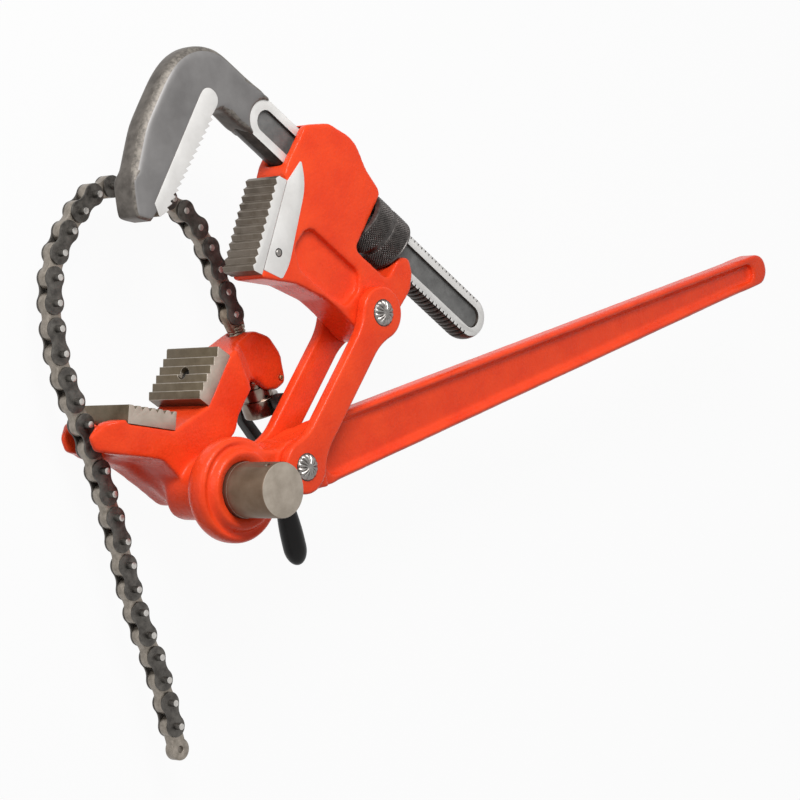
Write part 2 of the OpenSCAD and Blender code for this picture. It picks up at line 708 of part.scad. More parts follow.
// Outline of the hook's back; its front and rear faces are drawn in behind a bevel
hook_tip = shank_y - 162;
hook_back = [
    [hook_face - 24, shank_y + shank_r, 48], [hook_face - 56, shank_y + 12, 50],
    [hook_face - 72, shank_y - 26, 76], [hook_face - 68, shank_y - 100, 70],
    [hook_face - 50, shank_y - 158, 30], [hook_face - 26, shank_y - 185, 5],
    [hook_face - 8, shank_y - 176, 3]];
hook_mid = [hook_face - 10, shank_y - 80];
hook_bevel = 8;
hook_overlap = 20;
hook_gullet = 19;
hook_face_scale = [0.84, 0.93];
hook_teeth = 15;
hook_tooth_depth = 3.5;
thread_from = head_pin[0] - 66;
thread_turns = floor((shank_end - shank_r * 0.7 - thread_from) / shank_pitch);
thread_depth = 6;
rim_w = 12.5;
recess_from = hook_face + 54;
recess_depth = 4;
module thread_row(side) {
    for (i = [0:thread_turns - 1])
        translate([thread_from + i * shank_pitch, shank_y + side * (shank_r - thread_depth)])
            polygon([[shank_pitch * 0.2, side * thread_depth * 1.3], [shank_pitch * 0.42, 0],
                     [shank_pitch * 0.58, 0], [shank_pitch * 0.8, side * thread_depth * 1.3]]);
}
module hook_outline(k) {
    back = [for (p = hook_back)
        [hook_mid[0] + k[0] * (p[0] - hook_mid[0]), hook_mid[1] + k[1] * (p[1] - hook_mid[1]),
         p[2] * k[0]]];
    polygon(rounded(concat(
        [[hook_face + hook_overlap, shank_y + shank_r]], back,
        saw_row([hook_face, hook_tip], [hook_face, shank_low - hook_gullet], hook_teeth,
                -hook_tooth_depth, 0),
        [[hook_face, shank_low - hook_gullet], [hook_face + hook_overlap / 2, shank_low],
         [hook_face + hook_overlap, shank_low]])));
}
module hook_jaw() {
    color("dimgray")
    head_frame() difference() {
        union() {
            slab(hook_bevel - hook_t / 2, hook_t / 2 - hook_bevel) hook_outline([1, 1]);
            slab(-hook_t / 2, hook_t / 2) hook_outline(hook_face_scale);
            intersection() {
                slab(-shank_t / 2, shank_t / 2)
                    difference() {
                        translate([hook_face, shank_low - 1])
                            square([shank_end - hook_face + 1, 2 * shank_r + 2]);
                        thread_row(1);
                        thread_row(-1);
                    }
                union() {
                    translate([hook_face - 1, shank_y, 0])
                        rotate([0, 90, 0]) cylinder(r = shank_r, h = shank_end - shank_r - hook_face + 1);
                    translate([shank_end - shank_r, shank_y, 0]) sphere(r = shank_r);
                }
            }
        }
        for (z = [[shank_t / 2 - recess_depth, shank_t], [-shank_t, -shank_t / 2 + recess_depth]])
            slab(z[0], z[1])
                polygon(rounded([[recess_from, shank_low + rim_w, shank_r - rim_w - 0.5],
                                 [shank_end - rim_w, shank_low + rim_w, shank_r - rim_w - 0.5],
                                 [shank_end - rim_w, shank_y + shank_r - rim_w, shank_r - rim_w - 0.5],
                                 [recess_from, shank_y + shank_r - rim_w, shank_r - rim_w - 0.5]]));
    }
}
module adjusting_nut() {
    color("black")
    head_frame()
        translate([window_from + loose, shank_y, 0])
            rotate([0, 90, 0])
                rotate_extrude()
                    polygon(rounded([
                        [nut_bore_r, 0], [adjust_nut_d / 2, 0, 2.5],
                        [adjust_nut_d / 2, adjust_nut_len / 2 - 2.5, 1],
                        [adjust_nut_d / 2 - 2, adjust_nut_len / 2 - 1.5],
                        [adjust_nut_d / 2 - 2, adjust_nut_len / 2 + 1.5],
                        [adjust_nut_d / 2, adjust_nut_len / 2 + 2.5, 1],
                        [adjust_nut_d / 2, adjust_nut_len, 5],
                        [nut_bore_r, adjust_nut_len]], 3));
}

// Block chain with long pins
module plate_outline(hole_r) {
    difference() {
        union() {
            for (x = [0, chain_pitch]) translate([x, 0]) circle(r = plate_h / 2);
            translate([0, -plate_waist]) square([chain_pitch, 2 * plate_waist]);
        }
        for (x = [0, chain_pitch]) translate([x, 0]) circle(r = hole_r);
    }
}
module outer_link(pin_half) {
    for (z = [-outer_plate - plate_t, outer_plate])
        translate([0, 0, z]) linear_extrude(plate_t) plate_outline(chain_pin_d / 4);
    for (x = [0, chain_pitch])
        translate([x, 0, -pin_half]) cylinder(d = chain_pin_d, h = 2 * pin_half);
}
module inner_link() {
    translate([0, 0, -block_t / 2])
        linear_extrude(block_t) plate_outline(chain_pin_d / 2 + running);
}
module chain_link(i) {
    at = chain_pin_at(i - 1);
    color(i % 2 == 1 ? "dimgray" : "gray")
    translate([at[0], at[1], chain_z])
        rotate(chain_headings[i - 1]) {
            if (i % 2 == 1) outer_link(i <= flush_links ? flush_pin : long_pin);
            else inner_link();
        }
}

trunnion_body();
trunnion_shaft();
lower_jaw_insert();
upper_jaw_insert();
jaw_insert_screws();
chain_screw();
chain_nut();
nut_retaining_pin();
nut_handle();
nut_handle_pivots();
nut_handle_grip();
handle();
front_link();
rear_link();
lower_link_pin();
upper_link_pin();
wrench_head();
heel_jaw();
heel_jaw_pin();
flat_spring();
coil_spring();
hook_jaw();
adjusting_nut();
for (i = [1:chain_links]) chain_link(i);
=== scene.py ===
import json
import math
from functools import partial

import bmesh
import bpy
from mathutils import Matrix, Vector


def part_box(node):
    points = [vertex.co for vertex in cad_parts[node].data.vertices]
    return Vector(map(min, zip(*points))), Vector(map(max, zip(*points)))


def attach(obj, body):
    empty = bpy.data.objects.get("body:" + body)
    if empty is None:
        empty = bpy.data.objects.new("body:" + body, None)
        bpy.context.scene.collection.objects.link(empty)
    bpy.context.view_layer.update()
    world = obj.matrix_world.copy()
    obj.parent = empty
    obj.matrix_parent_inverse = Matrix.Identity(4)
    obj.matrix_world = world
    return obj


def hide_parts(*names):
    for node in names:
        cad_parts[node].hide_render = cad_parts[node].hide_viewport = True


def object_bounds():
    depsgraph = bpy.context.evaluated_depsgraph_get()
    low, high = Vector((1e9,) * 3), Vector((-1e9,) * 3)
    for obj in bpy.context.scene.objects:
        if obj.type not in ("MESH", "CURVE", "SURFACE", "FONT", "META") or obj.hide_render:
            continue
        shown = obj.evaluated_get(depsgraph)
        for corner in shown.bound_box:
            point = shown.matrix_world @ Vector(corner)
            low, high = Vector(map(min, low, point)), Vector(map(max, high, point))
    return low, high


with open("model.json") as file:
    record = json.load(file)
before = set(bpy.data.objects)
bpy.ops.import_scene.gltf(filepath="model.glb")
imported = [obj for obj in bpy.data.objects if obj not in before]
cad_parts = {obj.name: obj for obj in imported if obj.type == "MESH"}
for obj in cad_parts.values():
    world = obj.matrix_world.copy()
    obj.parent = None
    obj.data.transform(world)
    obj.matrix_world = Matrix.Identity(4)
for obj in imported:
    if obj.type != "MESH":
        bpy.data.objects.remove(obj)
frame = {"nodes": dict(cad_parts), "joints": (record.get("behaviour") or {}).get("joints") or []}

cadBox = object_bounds()
scene = bpy.context.scene
scene.view_settings.view_transform = "Standard"
nodes = frame["nodes"]
joints = {j["name"]: j for j in frame["joints"]}
mm = 0.001
zUp = Vector((0, 0, 1))


def jointAt(name):
    return Vector(joints[name]["pos_m"])


def jointDir(name):
    return Vector(joints[name]["axis"])


def placeAt(origin, x, y, z):  # matrix from a place and its three directions
    return Matrix.Translation(origin) @ Matrix((x, y, z)).transposed().to_4x4()


# places that the joints give: the links' pins and the shank's direction
upperPin = jointAt("head_tilt")
lowerPin = jointAt("link_swing")
handleZ = upperPin.z
shankDir = jointDir("jaw_slide")
shankSide = zUp.cross(shankDir)
headPlace = placeAt((0, 0, handleZ), shankDir, shankSide, zUp)
headPin = Vector((upperPin.dot(shankDir), upperPin.dot(shankSide))) / mm

photoView = {
    "turn": 45.5,  # degrees between the pivots and the line of sight
    "tilt": 1.2,
    "roll": 16.4,
    "distance": 3.0,
    "focal": 2970,  # pixels, for a frame of 800
    "frame": 800,
    "hubPixel": (229.8, 490.0),
    "sensor": 36,
    "clip": 50,
}


def addCamera(spec):
    turn, tilt, roll = (math.radians(spec[k]) for k in ("turn", "tilt", "roll"))
    # the object's axes as the camera sees them
    depth = Vector((math.sin(turn) * math.cos(tilt), math.sin(tilt), math.cos(turn) * math.cos(tilt)))
    up = (Vector((0, 1, 0)) - depth * depth.y).normalized()
    right = up.cross(depth)
    alongX = right * math.cos(roll) + up * math.sin(roll)
    alongY = up * math.cos(roll) - right * math.sin(roll)
    turnBack = Matrix((alongX, alongY, depth))
    half = spec["frame"] / 2
    hubX, hubY = spec["hubPixel"]
    hub = Vector((hubX - half, half - hubY, 0)) * (spec["distance"] / spec["focal"])
    eye = turnBack @ (Vector((0, 0, spec["distance"])) - hub) + Vector((0, 0, handleZ))
    data = bpy.data.cameras.new("photoCamera")
    data.sensor_width = spec["sensor"]
    data.lens = spec["focal"] * spec["sensor"] / spec["frame"]
    data.clip_end = spec["clip"]
    camera = bpy.data.objects.new("photoCamera", data)
    camera.matrix_world = Matrix.Translation(eye) @ turnBack.to_4x4()
    scene.collection.objects.link(camera)
    scene.camera = camera
    return camera


camera = addCamera(photoView)
print("camera set")


# node of a shader or geometry tree; a value that is a socket is linked
def addNode(tree, kind, values=None, at=(0, 0), **settings):
    node = tree.nodes.new(kind)
    node.location = at
    for key, value in settings.items():
        setattr(node, key, value)
    for key, value in (values or {}).items():
        if isinstance(value, bpy.types.NodeSocket):
            tree.links.new(value, node.inputs[key])
        else:
            node.inputs[key].default_value = value
    return node


# materials: every one is mottled, and bumpy at its own scale
mottling = {"detail": 6, "rough": 0.62, "colours": (0.35, 0.65), "dulls": (0.3, 0.7)}


def makeFinish(name, spec):
    material = bpy.data.materials.new(name)
    material.use_nodes = True
    tree = material.node_tree
    link = tree.links.new
    shader = tree.nodes["Principled BSDF"]
    shader.inputs["Metallic"].default_value = spec.get("metallic", 0)
    shader.inputs["Specular IOR Level"].default_value = spec.get("specular", 0.5)
    coords = addNode(tree, "ShaderNodeTexCoord", at=(-1200, 0)).outputs["Object"]
    mottle = addNode(tree, "ShaderNodeTexNoise", {
        "Vector": coords, "Scale": spec["mottleScale"], "Detail": mottling["detail"],
        "Roughness": mottling["rough"]}, (-950, 250)).outputs["Fac"]
    ramp = addNode(tree, "ShaderNodeValToRGB", {"Fac": mottle}, (-650, 250))
    for k, colour in enumerate((spec["dark"], spec["light"])):
        ramp.color_ramp.elements[k].position = mottling["colours"][k]
        ramp.color_ramp.elements[k].color = (*colour, 1)
    link(ramp.outputs["Color"], shader.inputs["Base Color"])
    dull = addNode(tree, "ShaderNodeMapRange", {
        "Value": mottle, "From Min": mottling["dulls"][0], "From Max": mottling["dulls"][1],
        "To Min": spec["rough"][0], "To Max": spec["rough"][1]}, (-650, -50))
    link(dull.outputs["Result"], shader.inputs["Roughness"])
    normal = None
    for k, (scale, depth, detail) in enumerate(spec["bumps"]):
        low = -300 - 250 * k
        grain = addNode(tree, "ShaderNodeTexNoise", {
            "Vector": coords, "Scale": scale, "Detail": detail}, (-950, low))
        bump = addNode(tree, "ShaderNodeBump", {
            "Strength": 1, "Distance": depth * mm, "Height": grain.outputs["Fac"]}, (-400, low))
        if normal:
            link(normal, bump.inputs["Normal"])
        normal = bump.outputs["Normal"]
    link(normal, shader.inputs["Normal"])
    return material


# two colours and their mottling's scale, then metallic, roughness and a bump
def metal(dark, light, mottleScale, metallic, rough, bump):
    return dict(dark=dark, light=light, mottleScale=mottleScale, metallic=metallic, rough=rough,
                bumps=(bump,))


finishes = {  # a bump has its scale, its depth in mm and its detail
    "orange_enamel": dict(
        dark=(0.76, 0.047, 0.0105), light=(0.86, 0.068, 0.0155), mottleScale=22,
        rough=(0.24, 0.32), specular=0.18, bumps=((30, 0.9, 2), (330, 0.45, 2))),
    # forged hook: its face; a speckled worn finish, darker than the face, which is also painted half shade on
    # the rounded edges; and a darker brown painted shade on its sides
    "forged_face": metal((0.142, 0.136, 0.133), (0.205, 0.198, 0.194), 18,
                         0.5, (0.4, 0.5), (420, 0.06, 3)),
    "forged_wear_half_shade": metal((0.075, 0.066, 0.058), (0.2, 0.18, 0.155), 260,
                         0.6, (0.46, 0.6), (420, 0.16, 3)),
    "forged_side_shade": metal((0.075, 0.065, 0.056), (0.15, 0.134, 0.118), 90,
                         0.6, (0.4, 0.52), (300, 0.14, 3)),
    # dark of the threads; also painted shade on the rivets' rings and on the shank's recess walls and broken
    # edges
    "dark_thread_and_shade": metal((0.022, 0.017, 0.014), (0.06, 0.049, 0.041), 110,
                         0.6, (0.36, 0.5), (400, 0.08, 3)),
    "recess_grey": metal((0.1, 0.099, 0.096), (0.16, 0.158, 0.153), 80,
                         0.3, (0.45, 0.58), (300, 0.16, 3)),
    "nut_oxide": metal((0.036, 0.031, 0.029), (0.078, 0.069, 0.064), 150,
                       0.5, (0.3, 0.42), (800, 0.03, 2)),
    "ground_steel": metal((0.6, 0.585, 0.565), (0.68, 0.665, 0.645), 40,
                          0.3, (0.42, 0.5), (700, 0.01, 2)),
    # lighter worn crests on the jaws' broken edges, which are also a painted highlight along them
    "crest_wear_and_highlight": metal((0.3, 0.26, 0.215), (0.44, 0.39, 0.33), 120,
                        0.7, (0.32, 0.44), (500, 0.03, 2)),
    "jaw_brown": metal((0.12, 0.095, 0.07), (0.18, 0.15, 0.12), 70,
                       0.7, (0.36, 0.48), (500, 0.06, 3)),
    "insert_olive": metal((0.11, 0.083, 0.05), (0.165, 0.13, 0.085), 60,
                          0.65, (0.36, 0.48), (500, 0.06, 3)),
    "insert_end": metal((0.36, 0.31, 0.255), (0.45, 0.39, 0.33), 60,
                        0.6, (0.4, 0.5), (600, 0.04, 2)),
    "shaft_brown": metal((0.13, 0.083, 0.052), (0.19, 0.132, 0.09), 35,
                         0.75, (0.34, 0.44), (420, 0.04, 3)),
    "shaft_end": metal((0.3, 0.255, 0.205), (0.4, 0.345, 0.285), 60,
                       0.6, (0.38, 0.5), (600, 0.04, 2)),
    "black_oxide": metal((0.014, 0.013, 0.012), (0.034, 0.031, 0.029), 150,
                         0.4, (0.32, 0.46), (800, 0.03, 2)),
    "bright_rivet": metal((0.17, 0.158, 0.148), (0.31, 0.293, 0.277), 200,
                          1, (0.3, 0.4), (600, 0.05, 2)),
    "plated_steel": metal((0.4, 0.36, 0.32), (0.56, 0.52, 0.47), 60,
                          1, (0.14, 0.22), (700, 0.01, 2)),
    "nut_polish": metal((0.17, 0.125, 0.1), (0.27, 0.215, 0.18), 60,
                        1, (0.16, 0.24), (700, 0.01, 2)),
    "screw_steel": metal((0.16, 0.12, 0.09), (0.32, 0.26, 0.2), 140,
                         0.9, (0.28, 0.42), (700, 0.05, 2)),
    "chain_plate": metal((0.055, 0.05, 0.045), (0.125, 0.116, 0.104), 130,
                         0.8, (0.34, 0.48), (600, 0.05, 3)),
    "chain_pin": metal((0.42, 0.4, 0.375), (0.58, 0.56, 0.53), 300,
                       0.9, (0.3, 0.42), (900, 0.02, 2)),
    "chain_block": metal((0.2, 0.175, 0.145), (0.34, 0.3, 0.255), 160,
                         0.75, (0.34, 0.48), (700, 0.04, 2)),
    "pin_brass": metal((0.42, 0.29, 0.13), (0.6, 0.45, 0.24), 200,
                       0.9, (0.3, 0.45), (700, 0.04, 2)),
    "spring_blue": metal((0.1, 0.11, 0.14), (0.2, 0.21, 0.25), 110,
                         0.9, (0.25, 0.4), (500, 0.03, 2)),
    "dipped_vinyl": dict(
        dark=(0.004, 0.0036, 0.0034), light=(0.009, 0.0083, 0.008), mottleScale=50,
        rough=(0.3, 0.4), specular=0.2, bumps=((60, 0.2, 2),)),
}
paint = {name: makeFinish(name, spec) for name, spec in finishes.items()}
print("finishes:", len(paint))

# mesh tools
creaseAngle = 38  # degrees; sharper edges stay sharp
doubles = 2e-6  # metres between points that are one
flatAngle = 0.6  # degrees between faces that are one
upright = 0.9  # how far a normal points along z on a flat side
longest = 0.6  # keeps the inset short at sharp corners
softening = 0.5  # share of the way that each smoothing pass moves a point
machining = {"angle": 32, "smooth": 44, "miter": "MITER_ARC"}  # degrees


def addPiece(name, mesh):
    piece = bpy.data.objects.new(name, mesh)
    scene.collection.objects.link(piece)
    return piece


def paintFaces(piece, finishNames, pick):
    picked = [pick(face) for face in piece.data.polygons]
    piece.data.materials.clear()
    for name in finishNames:
        piece.data.materials.append(paint[name])
    piece.data.polygons.foreach_set("material_index", picked)


def givePiece(piece, body, replaced=(), finish=None):
    if finish:
        paintFaces(piece, (finish,), lambda face: 0)
    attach(piece, body)
    for node in replaced:
        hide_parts(node)


def eased(value, ends):  # 0 before the ends, 1 past them, and soft between
    share = max(0, min(1, (value - ends[0]) / (ends[1] - ends[0])))
    return share * share * (3 - 2 * share)


def smoothBelow(mesh, degrees):
    mesh.shade_smooth()
    mesh.set_sharp_from_angle(angle=math.radians(degrees))


def turnsOf(steps, count=None):  # angles of the steps of a full turn, or of the first ones
    return [2 * math.pi * k / steps for k in range(count or steps)]


# rings of points in metres, joined one to the next and closed by a face at each end
def ringMesh(name, rings, degrees=creaseAngle, closed=False):
    bm = bmesh.new()
    rings = [[bm.verts.new(point) for point in ring] for ring in rings]
    pairs = list(zip(rings, rings[1:])) + ([(rings[-1], rings[0])] if closed else [])
    for a, b in pairs:
        steps = max(len(a), len(b))
        for k in range(steps):
            m = (k + 1) % steps
            corners = [a[k % len(a)], a[m % len(a)], b[m % len(b)], b[k % len(b)]]
            bm.faces.new([v for i, v in enumerate(corners) if v not in corners[:i]])
    if not closed:
        for cap in (rings[0][::-1], rings[-1]):
            if len(cap) > 1:
                bm.faces.new(cap)
    bmesh.ops.recalc_face_normals(bm, faces=bm.faces)
    mesh = bpy.data.meshes.new(name)
    bm.to_mesh(mesh)
    bm.free()
    smoothBelow(mesh, degrees)
    return mesh


# profile of radius and height in mm, turned about its axis
def latheMesh(name, profile, steps, place=Matrix(), closed=False):
    turns = turnsOf(steps)
    rings = [[place @ Vector((r * mm * math.cos(a), r * mm * math.sin(a), h * mm))
              for a in (turns if r else turns[:1])] for r, h in profile]
    return ringMesh(name, rings, closed=closed)


# points in mm; a third number rounds that corner
def roundedOutline(points, steps=6):
    outline = []
    for i, point in enumerate(points):
        here = Vector(point[:2])
        if len(point) < 3:
            outline.append(here)
            continue
        before = (Vector(points[i - 1][:2]) - here).normalized()
        after = (Vector(points[(i + 1) % len(points)][:2]) - here).normalized()
        half = before.angle(after) / 2
        middle = here + (before + after).normalized() * point[2] / math.sin(half)
        first = here + before * point[2] / math.tan(half) - middle
        side = -1 if before.x * after.y - before.y * after.x > 0 else 1
        for k in range(steps + 1):
            a = side * (math.pi - 2 * half) * k / steps
            outline.append(middle + Vector((first.x * math.cos(a) - first.y * math.sin(a),
                                            first.x * math.sin(a) + first.y * math.cos(a))))
    return outline


# open line with even steps, softened between its ends
def softLine(points, step, passes):
    line = [points[0]]
    for point in points[1:]:
        start, gap = line[-1], (point - line[-1]).length
        count = max(1, round(gap / step))
        line += [start.lerp(point, k / count) for k in range(1, count + 1)]
    for _ in range(passes):
        inside = [(a + 2 * b + c) / 4 for a, b, c in zip(line, line[1:], line[2:])]
        line = [line[0]] + inside + [line[-1]]
    return line


# strap with a round eye at each end, drawn in between them by fillets
def eyedOutline(length, eye, waist, fillet, eyeSteps, filletSteps):
    reach = math.sqrt((eye + fillet) ** 2 - (waist + fillet) ** 2)
    meet = math.atan2(waist + fillet, reach)  # where the eye meets its fillet
    half = []
    for k in range(eyeSteps + 1):
        a = math.pi - (math.pi - meet) * k / eyeSteps
        half.append((eye * math.cos(a), eye * math.sin(a)))
    for k in range(1, filletSteps + 1):
        a = math.pi + meet + (math.pi / 2 - meet) * k / filletSteps
        half.append((reach + fillet * math.cos(a), waist + fillet + fillet * math.sin(a)))
    far = [(length - x, y) for x, y in reversed(half)]
    if math.isclose(2 * reach, length):  # the two fillets share their last point
        far.pop(0)
    top = half + far
    return [Vector(p) for p in top] + [Vector((x, -y)) for x, y in reversed(top[1:-1])]


def quarterRound(steps=4):
    angles = [k / steps * math.pi / 2 for k in range(steps + 1)]
    return [(1 - math.cos(a), 1 - math.sin(a)) for a in angles]


# plate with an outline in mm; its edges are drawn in by "inset" over "drop", both numbers
# or one for each point, and "shift" gives single points their own way in
def plateMesh(name, outline, low, high, inset, drop, place=Matrix(), edge=None,
              degrees=creaseAngle, shift=None):
    count = len(outline)
    insets = inset if isinstance(inset, list) else [inset] * count
    drops = drop if isinstance(drop, list) else [drop] * count
    shift = shift or {}
    area = sum(outline[i - 1].x * outline[i].y - outline[i - 1].y * outline[i].x for i in range(count))
    rows = []
    for i in range(count):
        one = (outline[i] - outline[i - 1]).normalized()
        two = (outline[(i + 1) % count] - outline[i]).normalized()
        out = Vector((one.y + two.y, -one.x - two.x)).normalized() * (1 if area > 0 else -1)
        reach = 1 / max(longest, abs(out.x * one.y - out.y * one.x))
        inward = shift[i] if i in shift else out * -reach * insets[i]
        rows.append((outline[i], inward, drops[i]))
    edge = edge or quarterRound()
    rings = []
    for side in (-1, 1):
        for cut, sink in (reversed(edge) if side < 0 else edge):
            ring = []
            for point, inward, deep in rows:
                flat = point + inward * cut
                z = high - deep * sink if side > 0 else low + deep * sink
                ring.append(place @ Vector((flat.x * mm, flat.y * mm, z * mm)))
            rings.append(ring)
    return ringMesh(name, rings, degrees)


def joinMeshes(name, meshes):
    bm = bmesh.new()
    for mesh in meshes:
        bm.from_mesh(mesh)
    joined = bpy.data.meshes.new(name)
    bm.to_mesh(joined)
    bm.free()
    return joined


def editMesh(mesh, *changes):
    bm = bmesh.new()
    bm.from_mesh(mesh)
    for change in changes:
        change(bm)
    bm.to_mesh(mesh)
    bm.free()


def mergeDoubles(bm):
    bmesh.ops.remove_doubles(bm, verts=bm.verts, dist=doubles)


def mergeFlats(bm):
    bmesh.ops.dissolve_limit(bm, angle_limit=math.radians(flatAngle), verts=bm.verts, edges=bm.edges)


def evaluated(piece):
    bpy.context.view_layer.update()
    graph = bpy.context.evaluated_depsgraph_get()
    mesh = bpy.data.meshes.new_from_object(piece.evaluated_get(graph), depsgraph=graph)
    piece.modifiers.clear()
    return mesh


def mergedCopy(node, name):
    mesh = nodes[node].data.copy()
    mesh.name = name
    editMesh(mesh, mergeDoubles)
    mesh.materials.clear()
    return mesh


# piece with its edges broken; its second slot marks them
def brokenEdges(name, mesh, width, segments, spec):
    for _ in range(2):
        mesh.materials.append(None)
    piece = addPiece(name, mesh)
    bevel = piece.modifiers.new("brokenEdges", "BEVEL")
    bevel.width = width * mm
    bevel.segments = segments
    bevel.limit_method = "ANGLE"
    bevel.angle_limit = math.radians(spec["angle"])
    bevel.miter_outer = spec["miter"]
    bevel.material = 1
    piece.data = evaluated(piece)
    smoothBelow(piece.data, spec["smooth"])
    return piece


# copy of a machined node with its edges broken
def machinedCopy(node, name, edge, segments=2):
    mesh = mergedCopy(node, name)
    editMesh(mesh, mergeFlats)
    return brokenEdges(name, mesh, edge, segments, machining)


# copy of a cast node with the fillets and soft edges that a casting has
def castCopy(node, name, spec):
    piece = addPiece(name, mergedCopy(node, name))
    skin = piece.modifiers.new("skin", "REMESH")
    skin.mode = "VOXEL"
    skin.voxel_size = spec["voxel"] * mm
    skin.adaptivity = 0
    piece.data = evaluated(piece)
    for form in spec.get("forms", ()):
        form(piece.data)
    soften = piece.modifiers.new("fillets", "SMOOTH")
    soften.factor = softening
    soften.iterations = spec["passes"]
    if "blends" in spec:  # spots where one form runs into the next
        group = piece.vertex_groups.new(name="blends")
        for vertex in piece.data.vertices:
            spot = vertex.co / mm
            share = max(1 - (spot - Vector(at)).length / reach for at, reach in spec["blends"])
            if share > 0:
                group.add([vertex.index], min(1, 2 * share), "REPLACE")
        blend = piece.modifiers.new("blends", "SMOOTH")
        blend.factor = softening
        blend.iterations = spec["blendPasses"]
        blend.vertex_group = group.name
    piece.data = evaluated(piece)
    piece.vertex_groups.clear()
    piece.data.name = name
    piece.data.shade_smooth()
    return piece


def beyondRadius(at, radius):  # 1 on the faces that lie farther from an upright axis
    return lambda face: 1 if (face.center.xy - at.xy).length > radius * mm else 0


# Geometry Nodes: a tree's named inputs, its sums, and its end
def startTree(name, inputs):
    tree = bpy.data.node_groups.new(name, "GeometryNodeTree")
    face = tree.interface
    face.new_socket(name="Geometry", in_out="OUTPUT", socket_type="NodeSocketGeometry")
    names = {}
    for label, kind in inputs.items():
        socket = face.new_socket(name=label, in_out="INPUT", socket_type="NodeSocket" + kind)
        names[label] = socket.identifier
    return tree, names, addNode(tree, "NodeGroupInput").outputs


def addSum(tree, operation, a, b=None):
    values = {0: a} if b is None else {0: a, 1: b}
    return addNode(tree, "ShaderNodeMath", values, operation=operation).outputs[0]


def addVector(tree, values):
    return addNode(tree, "ShaderNodeCombineXYZ", values).outputs[0]


def addPosition(tree):
    spot = addNode(tree, "GeometryNodeInputPosition")
    return addNode(tree, "ShaderNodeSeparateXYZ", {0: spot.outputs[0]}).outputs


def realAndPainted(tree, geometry, finish):
    real = addNode(tree, "GeometryNodeRealizeInstances", {"Geometry": geometry})
    coat = addNode(tree, "GeometryNodeSetMaterial", {
        "Geometry": real.outputs["Geometry"], "Material": finish})
    return coat.outputs["Geometry"]


def grownMesh(tree, names, values):
    host = addPiece("host", bpy.data.meshes.new("host"))
    grow = host.modifiers.new("grow", "NODES")
    grow.node_group = tree
    for label, value in values.items():
        grow[names[label]] = value
    mesh = evaluated(host)
    bpy.data.objects.remove(host)
    return mesh


# rails of the handle: the frame's square ledges become round beads that slope down to the web
rails = {
    "lean": -0.22,  # degrees
    "root": (130, 34),  # place along the handle, and half its height there
    "tip": (910, 18),
    "rail": 8,  # width of the frame's ledge
    "half": 13,
    "web": 5.5,
    "edge": 8.6,
    "crest": 4.4,
    "foot": 13,
    "spread": 5,
    "starts": (128, 146),
    "stops": (846, 872),
}


def railHeight(v):  # v is counted from the handle's edge
    edge, half, web, crest = (rails[k] for k in ("edge", "half", "web", "crest"))
    if v < crest:
        return edge + (half - edge) * math.sin(v / crest * math.pi / 2)
    share = min(1, (v - crest) / (rails["foot"] - crest))
    return web + (half - web) * (1 + math.cos(share * math.pi)) / 2


def formRails(mesh):
    turn = Matrix.Rotation(math.radians(rails["lean"]), 4, "Z")
    turnBack = turn.inverted()
    (x0, half0), (x1, half1) = rails["root"], rails["tip"]
    wall, top, web = rails["rail"], rails["half"], rails["web"]
    run = wall + top - web + rails["spread"]  # length of rail, wall and the web's first strip
    for vertex in mesh.vertices:
        spot = turnBack @ vertex.co / mm
        share = eased(spot.x, rails["starts"]) * (1 - eased(spot.x, rails["stops"]))
        if share == 0:
            continue
        side, level = (1 if spot.y > 0 else -1), spot.z - handleZ / mm
        face, high = (1 if level > 0 else -1), abs(level)
        half = half0 + (spot.x - x0) / (x1 - x0) * (half1 - half0)
        v = half - abs(spot.y)
        # the nearest of the handle's edge, the rail's top, its wall and the web
        near = min((abs(v), 0), (abs(high - top) + max(0, v - wall), 1),
                   (abs(v - wall) + max(0, web - high, high - top), 2),
                   (abs(high - web) + max(0, wall - v), 3))[1]
        if near == 0:
            formed = (v, high * rails["edge"] / top)
        else:
            way = (0, v, wall + top - high, wall + top - web + v - wall)[near]
            over = way * rails["foot"] / run if way < run else v
            formed = (over, railHeight(over))
        v, high = v + (formed[0] - v) * share, high + (formed[1] - high) * share
        vertex.co = turn @ Vector((spot.x, side * (half - v), handleZ / mm + face * high)) * mm


# front of the handle's hub: a groove inside the rim that runs out towards the lug,
# and a slope down to the shaft
hub = {"level": 132, "groove": 44.5, "half": 5.5, "deep": 4, "slope": (29, 37), "fall": 3,
       "runOut": (-0.1, 0.6)}


def formHub(mesh):
    for vertex in mesh.vertices:
        spot = vertex.co / mm
        r = math.hypot(spot.x, spot.y)
        if spot.z < hub["level"] or r > hub["groove"] + hub["half"]:
            continue
        cut = hub["fall"] * (1 - eased(r, hub["slope"]))
        if r > hub["groove"] - hub["half"]:
            ring = math.cos((r - hub["groove"]) / hub["half"] * math.pi / 2) ** 2
            cut += hub["deep"] * ring * (1 - eased(spot.x / r, hub["runOut"]))
        vertex.co.z -= cut * mm


# castings: trunnion, handle lever and wrench head; a blend has its middle and its reach
underside = [((-66, 50, 42), 30), ((-44, 36, 42), 34), ((-22, 14, 42), 34), ((0, -10, 38), 30)]
hornFold = [((110, y, z), 24) for y in (88, 102, 116) for z in (5, 75)]
castings = {
    "trunnion_body": dict(name="trunnion_casting", body="trunnion", voxel=1.6, passes=24,
                          blends=underside + hornFold, blendPasses=110),
    "handle": dict(name="handle_casting", body="lever", voxel=1.6, passes=12,
                   forms=(formRails, formHub)),
    "wrench_head": dict(name="head_casting", body="head", voxel=1.6, passes=22),
}
for node, spec in castings.items():
    piece = castCopy(node, spec["name"], spec)
    givePiece(piece, spec["body"], [node], "orange_enamel")
    print("casting", spec["name"], len(piece.data.polygons), "faces")

